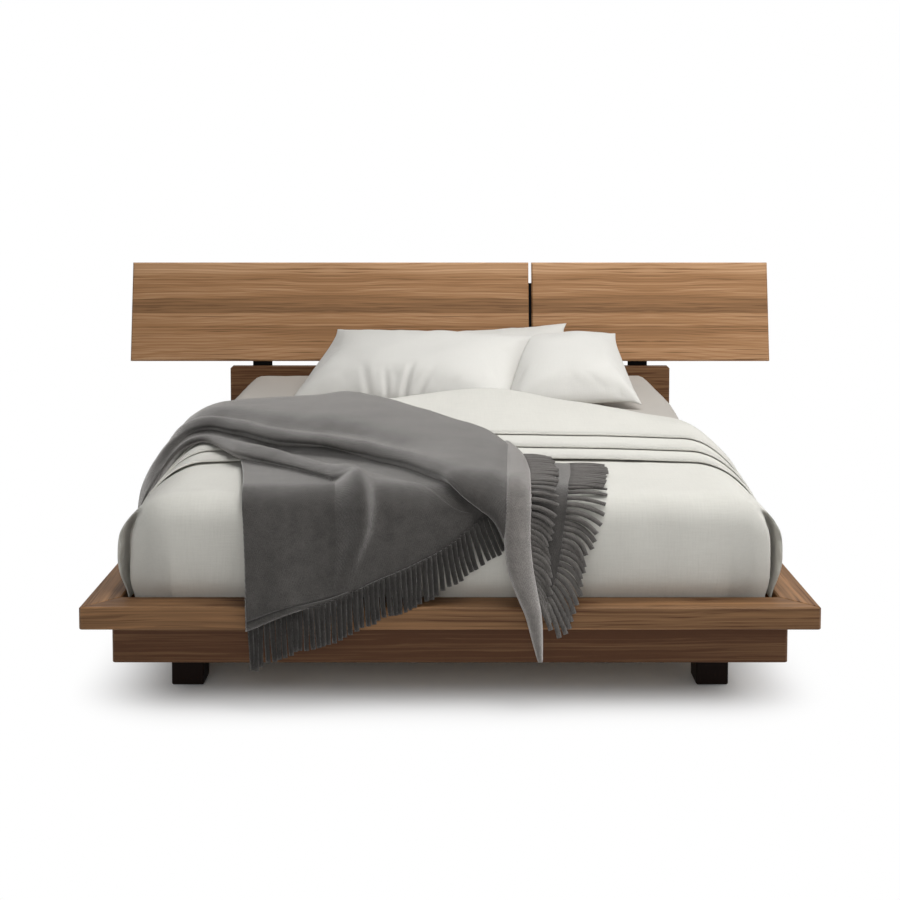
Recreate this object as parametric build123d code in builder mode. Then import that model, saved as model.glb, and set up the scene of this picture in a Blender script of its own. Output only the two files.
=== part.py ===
"""Low platform bed with a reclined split headboard, mattress, bedding, pillows and a draped throw.

Millimetres. +Z is up, +X is to the right seen from the foot end, +Y runs from foot to head.
The origin is on the floor under the middle of the bed's outline.
"""

import os
from math import cos, radians, sin, tan

from build123d import *

os.makedirs("parts", exist_ok=True)

# Platform, driven by a mattress of 1524 by 2032
MATTRESS_WIDTH = 1524
MATTRESS_LENGTH = 2032
MATTRESS_HEIGHT = 254
MATTRESS_PLAY = 5
RIM_WIDTH = 78
RIM_THICKNESS = 52
RIM_OVERHANG = 60
APRON_HEIGHT = 98
APRON_THICKNESS = 22
FOOT_SIZE = 76
FOOT_HEIGHT = 86
EDGE_EASE = 2.5
MITRE_GROOVE = 3
CORNER_CUT = 5

# Headrail and headboard
HEADRAIL_THICKNESS = 30
HEADRAIL_HEIGHT = 489
HEADRAIL_CORNER_CUT = 8
HEADBOARD_WIDTH = 2459
HEADBOARD_BOTTOM = 510
HEADBOARD_SLANT = 381
HEADBOARD_THICKNESS = 28
HEADBOARD_RECLINE = 9.5
HEADBOARD_BEVEL = 5
PANEL_GAP = 12
PANEL_GAP_X = 310

# Steel of the headboard
BRACKET_X = 725
BRACKET_WIDTH = 74
BRACKET_THICKNESS = 8
BRACKET_DROP = 240
BRACKET_REACH = 300
PLATE_WIDTH = 170
PLATE_THICKNESS = 5
PLATE_TOP_GAP = 78
PLATE_BOTTOM_GAP = 24
PLATE_CORNER = 10
PLATE_SCREW_SHARES = (0.12, 0.5, 0.88)
BRACKET_END_CUT = 6
BRACKET_SCREW_SHARES = (0.3, 0.88)
BRACKET_BOLT_MARGIN = 45
SCREW_RADIUS = 3
SCREW_HEAD_RADIUS = 6
SCREW_HEAD_HEIGHT = 3
SCREW_DEPTH = 20
BOLT_RADIUS = 4
BOLT_HEAD_RADIUS = 8
BOLT_HEAD_HEIGHT = 5
BOLT_DEPTH = 22
FOOT_BOLT_BITE = 40
PIN_SIDES = 6
HOLE_SPARE = 1
HOLE_PLAY = 0.1

# Hidden supports
FOOT_SETBACK = 140
FOOT_INNER_X = 588
GLIDE_RADIUS = 18
GLIDE_HEIGHT = 3
GLIDE_EASE = 0.8
BEARER_HEIGHT = 44
SUPPORT_HEIGHT = 60
LEDGER_WIDTH = 30
BEAM_WIDTH = 60
SLAT_COUNT = 13
SLAT_WIDTH = 80
SLAT_THICKNESS = 18
SLAT_END_PLAY = 9
SLAT_EASE = 3
LEG_SIZE = 45
LEG_SPACING = 620
LEVELLER_GAP = 28
LEVELLER_PAD_RADIUS = 20
LEVELLER_PAD_HEIGHT = 10
LEVELLER_PAD_BEVEL = 4
LEVELLER_STEM_RADIUS = 5
LEVELLER_STEM_LENGTH = 62
LEVELLER_BORE_DEPTH = 64
BLOCK_SIZE = 70
ANGLE_LEG = 60
ANGLE_THICKNESS = 4
ANGLE_HEIGHT = 42

# Bedding layers, outwards from the mattress
MATTRESS_CORNER = 70
MATTRESS_EDGE = 42
SHEET_THICKNESS = 2
LAYER_GAP = 0.5
COVER_THICKNESS = 9.5
CUFF_THICKNESS = 8
CUFF_FOOT_EDGE = 640
CUFF_SIDE_EDGE = 760
CUFF_CORNER = (700, 880)
CUFF_APEX_RIGHT = (290, 1170)
CUFF_APEX = (120, 1225)
CUFF_APEX_LEFT = (-60, 1170)
CUFF_DROP = 110
CLOTH_CLEARANCE = 1.5

# Places that follow from the sizes above
RIM_FRONT = -1080
OPENING_HALF_WIDTH = MATTRESS_WIDTH / 2 + MATTRESS_PLAY
RIM_HALF_WIDTH = OPENING_HALF_WIDTH + RIM_WIDTH
APRON_HALF_WIDTH = RIM_HALF_WIDTH - RIM_OVERHANG
APRON_FRONT = RIM_FRONT + RIM_OVERHANG
APRON_INNER_X = APRON_HALF_WIDTH - APRON_THICKNESS
APRON_INNER_FRONT = APRON_FRONT + APRON_THICKNESS
HEADRAIL_FRONT = RIM_FRONT + RIM_WIDTH + MATTRESS_LENGTH + 2 * MATTRESS_PLAY
HEADRAIL_BACK = HEADRAIL_FRONT + HEADRAIL_THICKNESS
RIM_BOTTOM = FOOT_HEIGHT + APRON_HEIGHT
RIM_TOP = RIM_BOTTOM + RIM_THICKNESS
BEARER_TOP = FOOT_HEIGHT + BEARER_HEIGHT
SUPPORT_TOP = BEARER_TOP + SUPPORT_HEIGHT
SLAT_TOP = SUPPORT_TOP + SLAT_THICKNESS
FOOT_X = FOOT_INNER_X + FOOT_SIZE / 2
FOOT_FRONT_Y = RIM_FRONT + FOOT_SETBACK + FOOT_SIZE / 2
FOOT_REAR_Y = HEADRAIL_FRONT - FOOT_SETBACK - FOOT_SIZE / 2
MATTRESS_MIDDLE_Y = (RIM_FRONT + RIM_WIDTH + HEADRAIL_FRONT) / 2
SHEET_TOP = SLAT_TOP + MATTRESS_HEIGHT
COVER_TOP = SHEET_TOP + LAYER_GAP + COVER_THICKNESS
CUFF_TOP = COVER_TOP + LAYER_GAP + CUFF_THICKNESS
COVER_FRONT = MATTRESS_MIDDLE_Y - MATTRESS_LENGTH / 2 - LAYER_GAP - COVER_THICKNESS

RECLINE_SIN = sin(radians(HEADBOARD_RECLINE))
RECLINE_COS = cos(radians(HEADBOARD_RECLINE))
# Front face of the headboard, x to the right and y up the slope
HEADBOARD_FACE = Plane(
    origin=(0, HEADRAIL_FRONT, HEADBOARD_BOTTOM), x_dir=(1, 0, 0), z_dir=(0, -RECLINE_COS, RECLINE_SIN)
)
# Back face of the headboard, looking out of the back, so x runs the other way
HEADBOARD_BACK = Plane(
    origin=HEADBOARD_FACE.offset(-HEADBOARD_THICKNESS).origin,
    x_dir=(-1, 0, 0),
    z_dir=(0, RECLINE_COS, -RECLINE_SIN),
)
HEADRAIL_BACK_FACE = Plane(origin=(0, HEADRAIL_BACK, 0), x_dir=(-1, 0, 0), z_dir=(0, 1, 0))

MADE = []


def finish(piece, label):
    """Name a finished piece and write it."""
    piece.part.label = label
    export_step(piece.part, f"parts/{label}.step")
    MADE.append(label)


def prisms(places, radius, low, high):
    """A group of six-sided bars, each from one height to another over its place."""
    with BuildPart() as group:
        for place in places:
            with BuildSketch(Plane(place * Pos(0, 0, low))):
                RegularPolygon(radius, PIN_SIDES)
            extrude(amount=high - low)
    return group.part


def pin_holes(places, radius, depth):
    """The holes that the shanks of a group of pins need, this deep into the face."""
    return prisms(places, radius + HOLE_PLAY, -depth - HOLE_SPARE, HOLE_SPARE)


def board(label, size, middle):
    """A plain squared board, lightly eased on every edge."""
    with BuildPart() as piece:
        with Locations(middle):
            Box(*size)
        chamfer(piece.edges(), EDGE_EASE / 2)
    finish(piece, label)


# Rim and apron

def corner_plane(side, half_width, front):
    """Upright plane that takes the sharp tip off a mitred corner; the board lies below it."""
    return Plane(
        origin=(side * (half_width - CORNER_CUT / 2), front + CORNER_CUT / 2, 0), z_dir=(side, -1, 0)
    )


def mitred_foot_board(label, half_width, front, width, bottom, height):
    """Board across the foot with a mitre at each end."""
    outline = [
        (-half_width, front),
        (half_width, front),
        (half_width - width, front + width),
        (-half_width + width, front + width),
    ]
    with BuildPart() as piece:
        with BuildSketch(Plane.XY.offset(bottom)):
            Polygon(*outline, align=None)
        extrude(amount=height)
        chamfer(piece.faces().sort_by(Axis.Z)[-1].edges(), MITRE_GROOVE)
        chamfer(piece.faces().sort_by(Axis.Z)[0].edges(), EDGE_EASE)
        for side in (-1, 1):
            split(bisect_by=corner_plane(side, half_width, front), keep=Keep.BOTTOM)
    finish(piece, label)


def mitred_side_board(label, side, half_width, front, width, bottom, height):
    """Board along one side, mitred at the foot and square against the headrail."""
    outline = [
        (side * half_width, front),
        (side * (half_width - width), front + width),
        (side * (half_width - width), HEADRAIL_FRONT),
        (side * half_width, HEADRAIL_FRONT),
    ]
    with BuildPart() as piece:
        with BuildSketch(Plane.XY.offset(bottom)):
            Polygon(*outline, align=None)
        extrude(amount=height)
        top = piece.faces().sort_by(Axis.Z)[-1]
        chamfer(top.edges().sort_by(Axis.Y)[:-1], MITRE_GROOVE)
        base = piece.faces().sort_by(Axis.Z)[0]
        chamfer(base.edges().sort_by(Axis.Y)[:-1], EDGE_EASE)
        split(bisect_by=corner_plane(side, half_width, front), keep=Keep.BOTTOM)
    finish(piece, label)


mitred_foot_board("rim_foot", RIM_HALF_WIDTH, RIM_FRONT, RIM_WIDTH, RIM_BOTTOM, RIM_THICKNESS)
mitred_foot_board(
    "apron_foot", APRON_HALF_WIDTH, APRON_FRONT, APRON_THICKNESS, FOOT_HEIGHT, APRON_HEIGHT
)
for name, side in (("left", -1), ("right", 1)):
    mitred_side_board(
        f"rim_{name}", side, RIM_HALF_WIDTH, RIM_FRONT, RIM_WIDTH, RIM_BOTTOM, RIM_THICKNESS
    )
    mitred_side_board(
        f"apron_{name}", side, APRON_HALF_WIDTH, APRON_FRONT, APRON_THICKNESS, FOOT_HEIGHT, APRON_HEIGHT
    )

# Headrail, with four bolts for each headboard bracket
BRACKET_BOLTS = [
    (side * BRACKET_X + dx, z)
    for side in (-1, 1)
    for dx in (-BRACKET_WIDTH / 4, BRACKET_WIDTH / 4)
    for z in (HEADRAIL_HEIGHT - BRACKET_DROP + BRACKET_BOLT_MARGIN, HEADRAIL_HEIGHT - BRACKET_BOLT_MARGIN)
]
BRACKET_BOLT_PLACES = [HEADRAIL_BACK_FACE.location * Pos(-x, z) for x, z in BRACKET_BOLTS]

with BuildPart() as headrail:
    with BuildSketch(Plane.XZ.offset(-HEADRAIL_BACK)):
        with Locations((0, FOOT_HEIGHT)):
            outline = Rectangle(
                2 * RIM_HALF_WIDTH, HEADRAIL_HEIGHT - FOOT_HEIGHT, align=(Align.CENTER, Align.MIN)
            )
        chamfer(outline.vertices().group_by(Axis.Z)[-1], HEADRAIL_CORNER_CUT)
    extrude(amount=HEADRAIL_THICKNESS)
    chamfer(headrail.faces().sort_by(Axis.Y)[0].edges(), EDGE_EASE)
    add(pin_holes(BRACKET_BOLT_PLACES, BOLT_RADIUS, BOLT_DEPTH - BRACKET_THICKNESS), mode=Mode.SUBTRACT)
finish(headrail, "headrail")

# Headboard panels, joined by a plate behind the gap and carried by two bent brackets
PANELS = {
    "left": (-HEADBOARD_WIDTH / 2, PANEL_GAP_X - PANEL_GAP / 2),
    "right": (PANEL_GAP_X + PANEL_GAP / 2, HEADBOARD_WIDTH / 2),
}
PLATE_HEIGHT = HEADBOARD_SLANT - PLATE_TOP_GAP - PLATE_BOTTOM_GAP
PLATE_SCREWS = [
    (PANEL_GAP_X + dx, PLATE_BOTTOM_GAP + PLATE_HEIGHT * share)
    for dx in (-PLATE_WIDTH / 3, PLATE_WIDTH / 3)
    for share in PLATE_SCREW_SHARES
]
BRACKET_SCREWS = [
    (side * BRACKET_X + dx, up)
    for side in (-1, 1)
    for dx in (-BRACKET_WIDTH / 4, BRACKET_WIDTH / 4)
    for up in [BRACKET_REACH * share for share in BRACKET_SCREW_SHARES]
]


def on_headboard_back(points):
    """Places on the panels' back face, from x and the height up the slope."""
    return [HEADBOARD_BACK.location * Pos(-x, up) for x, up in points]


for name, (x_low, x_high) in PANELS.items():
    holes = [p for p in PLATE_SCREWS + BRACKET_SCREWS if x_low < p[0] < x_high]
    with BuildPart() as panel:
        with BuildSketch(HEADBOARD_FACE):
            with Locations(((x_low + x_high) / 2, HEADBOARD_SLANT / 2)):
                Rectangle(x_high - x_low, HEADBOARD_SLANT)
        extrude(amount=-HEADBOARD_THICKNESS)
        face_axis = Axis(HEADBOARD_FACE.origin, HEADBOARD_FACE.z_dir)
        chamfer(panel.faces().sort_by(face_axis)[-1].edges(), HEADBOARD_BEVEL)
        screw_holes = pin_holes(on_headboard_back(holes), SCREW_RADIUS, SCREW_DEPTH - PLATE_THICKNESS)
        add(screw_holes, mode=Mode.SUBTRACT)
    finish(panel, f"headboard_panel_{name}")

with BuildPart() as joining_plate:
    with BuildSketch(HEADBOARD_BACK):
        with Locations((-PANEL_GAP_X, PLATE_BOTTOM_GAP + PLATE_HEIGHT / 2)):
            RectangleRounded(PLATE_WIDTH, PLATE_HEIGHT, PLATE_CORNER)
    extrude(amount=PLATE_THICKNESS)
    screw_holes = prisms(on_headboard_back(PLATE_SCREWS), SCREW_RADIUS + HOLE_PLAY, 0, PLATE_THICKNESS)
    add(screw_holes, mode=Mode.SUBTRACT)
finish(joining_plate, "headboard_joining_plate")

# The bend of a bracket is where the panels' back face crosses the headrail's back face
BACK_EDGE = HEADBOARD_BACK.origin
BEND_UP = (HEADRAIL_BACK - BACK_EDGE.Y) / RECLINE_SIN
BEND_Z = BACK_EDGE.Z + BEND_UP * RECLINE_COS
BEND_HALF_TURN = BRACKET_THICKNESS * tan(radians(HEADBOARD_RECLINE / 2))
REACH = BRACKET_REACH - BEND_UP
BRACKET_PROFILE = [
    (HEADRAIL_BACK, HEADRAIL_HEIGHT - BRACKET_DROP),
    (HEADRAIL_BACK, BEND_Z),
    (HEADRAIL_BACK + REACH * RECLINE_SIN, BEND_Z + REACH * RECLINE_COS),
    (
        HEADRAIL_BACK + REACH * RECLINE_SIN + BRACKET_THICKNESS * RECLINE_COS,
        BEND_Z + REACH * RECLINE_COS - BRACKET_THICKNESS * RECLINE_SIN,
    ),
    (HEADRAIL_BACK + BRACKET_THICKNESS, BEND_Z - BEND_HALF_TURN),
    (HEADRAIL_BACK + BRACKET_THICKNESS, HEADRAIL_HEIGHT - BRACKET_DROP),
]
for name, side in (("left", -1), ("right", 1)):
    screws = [p for p in BRACKET_SCREWS if p[0] * side > 0]
    bolts = [place for place, p in zip(BRACKET_BOLT_PLACES, BRACKET_BOLTS) if p[0] * side > 0]
    with BuildPart() as bracket:
        with BuildSketch(Plane.YZ.offset(side * BRACKET_X)):
            Polygon(*BRACKET_PROFILE, align=None)
        extrude(amount=BRACKET_WIDTH / 2, both=True)
        ends = bracket.faces().sort_by(Axis.Z)
        chamfer((ends[0] + ends[-1]).edges().filter_by(Axis.X, reverse=True), BRACKET_END_CUT)
        for places, radius in ((on_headboard_back(screws), SCREW_RADIUS), (bolts, BOLT_RADIUS)):
            add(prisms(places, radius + HOLE_PLAY, 0, BRACKET_THICKNESS), mode=Mode.SUBTRACT)
    finish(bracket, f"headboard_bracket_{name}")


def headed_pins(label, places, under_head, radius, depth, head_radius, head_height):
    """A group of hexagon screws or bolts; places lie on the face that the shank enters."""
    with BuildPart() as pins:
        add(prisms(places, radius, under_head - depth, under_head))
        add(prisms(places, head_radius, under_head, under_head + head_height))
    finish(pins, label)


headed_pins(
    "joining_plate_screws", on_headboard_back(PLATE_SCREWS), PLATE_THICKNESS,
    SCREW_RADIUS, SCREW_DEPTH, SCREW_HEAD_RADIUS, SCREW_HEAD_HEIGHT,
)
headed_pins(
    "bracket_screws", on_headboard_back(BRACKET_SCREWS), BRACKET_THICKNESS,
    SCREW_RADIUS, SCREW_DEPTH, SCREW_HEAD_RADIUS, SCREW_HEAD_HEIGHT,
)
headed_pins(
    "bracket_bolts", BRACKET_BOLT_PLACES, BRACKET_THICKNESS,
    BOLT_RADIUS, BOLT_DEPTH, BOLT_HEAD_RADIUS, BOLT_HEAD_HEIGHT,
)

# Cross bearers and the four feet that bolt up into them
FOOT_BOLT_LENGTH = BEARER_HEIGHT + FOOT_BOLT_BITE
for name, y in (("foot", FOOT_FRONT_Y), ("head", FOOT_REAR_Y)):
    with BuildPart() as bearer:
        with Locations((0, y, FOOT_HEIGHT)):
            Box(
                2 * APRON_INNER_X, FOOT_SIZE, BEARER_HEIGHT,
                align=(Align.CENTER, Align.CENTER, Align.MIN),
            )
        chamfer(bearer.edges().filter_by(Axis.X), EDGE_EASE)
        bolts = [Location((side * FOOT_X, y, BEARER_TOP)) for side in (-1, 1)]
        add(prisms(bolts, BOLT_RADIUS + HOLE_PLAY, -BEARER_HEIGHT, 0), mode=Mode.SUBTRACT)
    finish(bearer, f"bearer_{name}")

FEET = {
    "foot_front_left": (-FOOT_X, FOOT_FRONT_Y),
    "foot_front_right": (FOOT_X, FOOT_FRONT_Y),
    "foot_rear_left": (-FOOT_X, FOOT_REAR_Y),
    "foot_rear_right": (FOOT_X, FOOT_REAR_Y),
}
for name, (x, y) in FEET.items():
    with BuildPart() as foot:
        with BuildSketch(Plane.XY.offset(GLIDE_HEIGHT)):
            with Locations((x, y)):
                Rectangle(FOOT_SIZE, FOOT_SIZE)
        extrude(amount=FOOT_HEIGHT - GLIDE_HEIGHT)
        chamfer(foot.edges().filter_by(Axis.Z), EDGE_EASE)
        chamfer(foot.faces().sort_by(Axis.Z)[0].edges(), EDGE_EASE)
        add(pin_holes([Location((x, y, FOOT_HEIGHT))], BOLT_RADIUS, FOOT_BOLT_BITE), mode=Mode.SUBTRACT)
    finish(foot, name)

with BuildPart() as glides:
    with Locations(*[(x, y, 0) for x, y in FEET.values()]):
        Cylinder(GLIDE_RADIUS, GLIDE_HEIGHT, align=(Align.CENTER, Align.CENTER, Align.MIN))
    chamfer(glides.faces().filter_by(Axis.Z).group_by(Axis.Z)[0].edges(), GLIDE_EASE)
finish(glides, "foot_glides")

headed_pins(
    "foot_bolts", [Location((x, y, BEARER_TOP)) for x, y in FEET.values()], 0,
    BOLT_RADIUS, FOOT_BOLT_LENGTH, BOLT_HEAD_RADIUS, BOLT_HEAD_HEIGHT,
)

# Ledgers, centre beam and slats
SUPPORT_LENGTH = HEADRAIL_FRONT - APRON_INNER_FRONT
SUPPORT_MIDDLE_Y = (HEADRAIL_FRONT + APRON_INNER_FRONT) / 2
SUPPORT_MIDDLE_Z = BEARER_TOP + SUPPORT_HEIGHT / 2
for name, side in (("left", -1), ("right", 1)):
    board(
        f"ledger_{name}",
        (LEDGER_WIDTH, SUPPORT_LENGTH, SUPPORT_HEIGHT),
        (side * (APRON_INNER_X - LEDGER_WIDTH / 2), SUPPORT_MIDDLE_Y, SUPPORT_MIDDLE_Z),
    )
board(
    "centre_beam", (BEAM_WIDTH, SUPPORT_LENGTH, SUPPORT_HEIGHT), (0, SUPPORT_MIDDLE_Y, SUPPORT_MIDDLE_Z)
)

SLAT_PITCH = (MATTRESS_LENGTH - SLAT_WIDTH) / (SLAT_COUNT - 1)
SLAT_LENGTH = 2 * (OPENING_HALF_WIDTH - SLAT_END_PLAY)
FIRST_SLAT_Y = MATTRESS_MIDDLE_Y - (SLAT_COUNT - 1) * SLAT_PITCH / 2
for number in range(SLAT_COUNT):
    with BuildPart() as slat:
        with Locations((0, FIRST_SLAT_Y + number * SLAT_PITCH, SUPPORT_TOP + SLAT_THICKNESS / 2)):
            Box(SLAT_LENGTH, SLAT_WIDTH, SLAT_THICKNESS)
        chamfer(slat.edges().filter_by(Axis.X), SLAT_EASE)
    finish(slat, f"slat_{number + 1:02d}")

# Centre legs and their screw levellers
for name, side in (("front", -1), ("rear", 1)):
    y = SUPPORT_MIDDLE_Y + side * LEG_SPACING / 2
    with BuildPart() as leg:
        with BuildSketch(Plane.XY.offset(LEVELLER_GAP)):
            with Locations((0, y)):
                Rectangle(LEG_SIZE, LEG_SIZE)
        extrude(amount=BEARER_TOP - LEVELLER_GAP)
        chamfer(leg.edges().filter_by(Axis.Z), EDGE_EASE)
        with Locations(Location((0, y, LEVELLER_GAP), (180, 0, 0))):
            Hole(LEVELLER_STEM_RADIUS + HOLE_PLAY, LEVELLER_BORE_DEPTH)
    finish(leg, f"centre_leg_{name}")
    with BuildPart() as leveller:
        with Locations((0, y, 0)):
            Cylinder(
                LEVELLER_PAD_RADIUS, LEVELLER_PAD_HEIGHT, align=(Align.CENTER, Align.CENTER, Align.MIN)
            )
        chamfer(leveller.faces().sort_by(Axis.Z)[-1].edges(), LEVELLER_PAD_BEVEL)
        with Locations((0, y, LEVELLER_PAD_HEIGHT)):
            Cylinder(
                LEVELLER_STEM_RADIUS, LEVELLER_STEM_LENGTH,
                align=(Align.CENTER, Align.CENTER, Align.MIN),
            )
    finish(leveller, f"leveller_{name}")

# Timber blocks in the foot corners and steel angles in the head corners
for name, side in (("left", -1), ("right", 1)):
    corner_x = side * APRON_INNER_X
    with BuildPart() as block:
        with BuildSketch(Plane.XY.offset(FOOT_HEIGHT)):
            Polygon(
                (corner_x, APRON_INNER_FRONT),
                (corner_x - side * BLOCK_SIZE, APRON_INNER_FRONT),
                (corner_x, APRON_INNER_FRONT + FOOT_SETBACK - RIM_OVERHANG - APRON_THICKNESS),
                align=None,
            )
        extrude(amount=BEARER_HEIGHT)
    finish(block, f"corner_block_{name}")
    with BuildPart() as angle:
        with BuildSketch(Plane.XY.offset(FOOT_HEIGHT)):
            with BuildLine():
                Polyline(
                    (corner_x, HEADRAIL_FRONT),
                    (corner_x - side * ANGLE_LEG, HEADRAIL_FRONT),
                    (corner_x - side * ANGLE_LEG, HEADRAIL_FRONT - ANGLE_THICKNESS),
                    (corner_x - side * ANGLE_THICKNESS, HEADRAIL_FRONT - ANGLE_THICKNESS),
                    (corner_x - side * ANGLE_THICKNESS, HEADRAIL_FRONT - ANGLE_LEG),
                    (corner_x, HEADRAIL_FRONT - ANGLE_LEG),
                    close=True,
                )
            make_face()
        extrude(amount=ANGLE_HEIGHT)
    finish(angle, f"head_angle_{name}")


# Mattress and the layers of bedding that lie over it

def bedding_form(grow):
    """The mattress in its fitted sheet, grown outwards; its base stays on the slats."""
    with BuildPart() as form:
        with BuildSketch(Plane.XY.offset(SLAT_TOP)):
            with Locations((0, MATTRESS_MIDDLE_Y)):
                RectangleRounded(
                    MATTRESS_WIDTH + 2 * grow, MATTRESS_LENGTH + 2 * grow, MATTRESS_CORNER + grow
                )
        extrude(amount=MATTRESS_HEIGHT + grow)
        fillet(form.faces().sort_by(Axis.Z)[-1].edges(), MATTRESS_EDGE + grow)
    return form.part


def cover_outline(foot_edge):
    """Outline on the bed, from a straight edge near the foot to the curved upper edge of the cuff."""
    wide = RIM_HALF_WIDTH
    right = [(wide, foot_edge), (wide, CUFF_SIDE_EDGE), CUFF_CORNER, CUFF_APEX_RIGHT]
    left = [CUFF_APEX_LEFT, (-CUFF_CORNER[0], CUFF_CORNER[1]), (-wide, CUFF_SIDE_EDGE), (-wide, foot_edge)]
    from_rim = Vector(0, RIM_FRONT)
    with BuildSketch() as outline:
        with BuildLine():
            Polyline(*[from_rim + Vector(*p) for p in right])
            ThreePointArc(*[from_rim + Vector(*p) for p in (CUFF_APEX_RIGHT, CUFF_APEX, CUFF_APEX_LEFT)])
            Polyline(*[from_rim + Vector(*p) for p in left])
            Line(from_rim + Vector(*left[-1]), from_rim + Vector(*right[0]))
        make_face()
    return outline.sketch


with BuildPart() as mattress:
    add(bedding_form(-SHEET_THICKNESS))
finish(mattress, "mattress")

with BuildPart() as fitted_sheet:
    add(bedding_form(0))
    add(bedding_form(-SHEET_THICKNESS), mode=Mode.SUBTRACT)
finish(fitted_sheet, "fitted_sheet")

COVER_SKIRT = RIM_TOP + CLOTH_CLEARANCE
with BuildPart() as coverlet:
    add(bedding_form(LAYER_GAP + COVER_THICKNESS))
    add(bedding_form(LAYER_GAP), mode=Mode.SUBTRACT)
    with BuildSketch(Plane.XY.offset(COVER_SKIRT)):
        add(cover_outline(0))
    extrude(amount=COVER_TOP, mode=Mode.INTERSECT)
finish(coverlet, "coverlet")

with BuildPart() as cuff:
    add(bedding_form(2 * LAYER_GAP + COVER_THICKNESS + CUFF_THICKNESS))
    add(bedding_form(2 * LAYER_GAP + COVER_THICKNESS), mode=Mode.SUBTRACT)
    with BuildSketch(Plane.XY.offset(CUFF_TOP - CUFF_DROP)):
        add(cover_outline(CUFF_FOOT_EDGE))
    extrude(amount=CUFF_TOP, mode=Mode.INTERSECT)
finish(cuff, "coverlet_cuff")


# Pillows: a lens that swells to the middle, with a sewn edge drawn in between its corners

PILLOW_SEAM = 7
PILLOW_END_CROWN = 1
PILLOW_FULLNESS = 0.6
PILLOW_DRAWN_IN = 0.06
PILLOW_STATIONS = (-0.5, -0.45, -0.22, 0.22, 0.45, 0.5)
# Width, depth, swell above and below the seam, middle, tilt and turn in degrees
PILLOWS = {
    "pillow_back": (880, 430, 72, 54, (0, RIM_FRONT + 1895, 572), 24, 0),
    "pillow_right": (410, 480, 66, 40, (412, RIM_FRONT + 1535, 549), 18, -2),
    "pillow_left": (740, 490, 74, 46, (-126, RIM_FRONT + 1562, 582), 18, -16),
}


def pillow(label, width, depth, rise, sink, middle, tilt, turn):
    """Filled pillow, leaning back by its tilt; its seam runs round at half height."""
    along = Vector(1, 0, 0).rotate(Axis.Z, turn)
    up_slope = Vector(0, 1, 0).rotate(Axis.X, tilt).rotate(Axis.Z, turn)
    with BuildPart() as piece:
        for share in PILLOW_STATIONS:
            swell = (1 - (2 * share) ** 2) ** PILLOW_FULLNESS
            half = depth / 2 * (1 - PILLOW_DRAWN_IN * swell)
            upper = PILLOW_SEAM + PILLOW_END_CROWN + (rise - PILLOW_SEAM) * swell
            lower = PILLOW_SEAM + PILLOW_END_CROWN + (sink - PILLOW_SEAM) * swell
            station = Plane(origin=Vector(*middle) + along * (share * width), x_dir=up_slope, z_dir=along)
            with BuildSketch(station):
                with BuildLine():
                    ThreePointArc((-half, PILLOW_SEAM), (0, upper), (half, PILLOW_SEAM))
                    Line((half, PILLOW_SEAM), (half, -PILLOW_SEAM))
                    ThreePointArc((half, -PILLOW_SEAM), (0, -lower), (-half, -PILLOW_SEAM))
                    Line((-half, -PILLOW_SEAM), (-half, PILLOW_SEAM))
                make_face()
        loft(ruled=True)
    finish(piece, label)


for name, sizes in PILLOWS.items():
    pillow(name, *sizes)


# Throw: a folded heap across the bed, a panel that hangs over the foot and a fall down the left side

THROW_THICKNESS = 8
THROW_LOW = COVER_TOP + CLOTH_CLEARANCE
THROW_HIGH = CUFF_TOP + CLOTH_CLEARANCE
THROW_STEP = 40
FALL_ANGLE = 22.5
FALL_GAP = 4
FALL_BOW = 5
# Across the bed: x, front edge, back edge, crest of the folds
THROW_HEAP = (
    (-700, 470, 1140, 24),
    (-600, 420, 1230, 34),
    (-420, 340, 1320, 38),
    (-220, 250, 1300, 36),
    (-60, 170, 1060, 30),
    (100, 150, 790, 22),
)
THROW_VALLEYS = (0, 0.3, 0.62, 1)
THROW_VALLEY_HEIGHT = 12
# Over the foot: x, bulge of the fold, height of the hem
THROW_FALL = (
    (-455, 2, 190),
    (-375, 14, 215),
    (-285, 4, 245),
    (-170, 16, 287),
    (-60, 5, 332),
    (30, 13, 385),
    (100, 4, 425),
    (170, 8, 430),
)
# Under layer that shows beside the panel: x, bulge of the fold, height of the hem
THROW_FLAP = ((150, 2, 300), (190, 9, 296), (235, 4, 330), (281, 2, 425))
# Rolled corner that hangs lowest: left, right, height and bulge of each level
THROW_TAIL = ((118, 180, 440, 6), (126, 184, 340, 22), (164, 204, 236, 38.5), (194, 208, 112, 26))
# Down the left side: distance from the rim front, bulge of the fold, height of the hem
THROW_SIDE = ((500, 2, 330), (620, 14, 310), (760, 3, 300), (900, 15, 306), (1040, 3, 320), (1130, 8, 335))


def bend_over(corner_across, corner_up, radius, angle):
    """Middle and end of the arc that a cloth follows over a rounded edge."""
    half = radians((90 + angle) / 2)
    end = radians(angle)
    middle_point = (corner_across - radius * cos(half), corner_up + radius * sin(half))
    end_point = (corner_across - radius * cos(end), corner_up + radius * sin(end))
    return middle_point, end_point


COVER_EDGE = MATTRESS_EDGE + LAYER_GAP + COVER_THICKNESS
FALL_TURN_Y = COVER_FRONT + COVER_EDGE
FALL_TURN_Z = COVER_TOP - COVER_EDGE
FALL_RADIUS = COVER_EDGE + CLOTH_CLEARANCE


def fall_turn(outwards):
    """Arc over the foot edge, this far out from the inner face of the throw."""
    return bend_over(FALL_TURN_Y, FALL_TURN_Z, FALL_RADIUS + outwards, FALL_ANGLE)


def on_fall(top, fall_y, z):
    """Point of the hanging panel at height z: it bows out to the rim's edge, then hangs plumb."""
    share = min(1, (top[1] - z) / (top[1] - RIM_TOP))
    bow = 4 * FALL_BOW * share * (1 - share)
    return (top[0] + (fall_y - top[0]) * share - bow, z)


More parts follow.
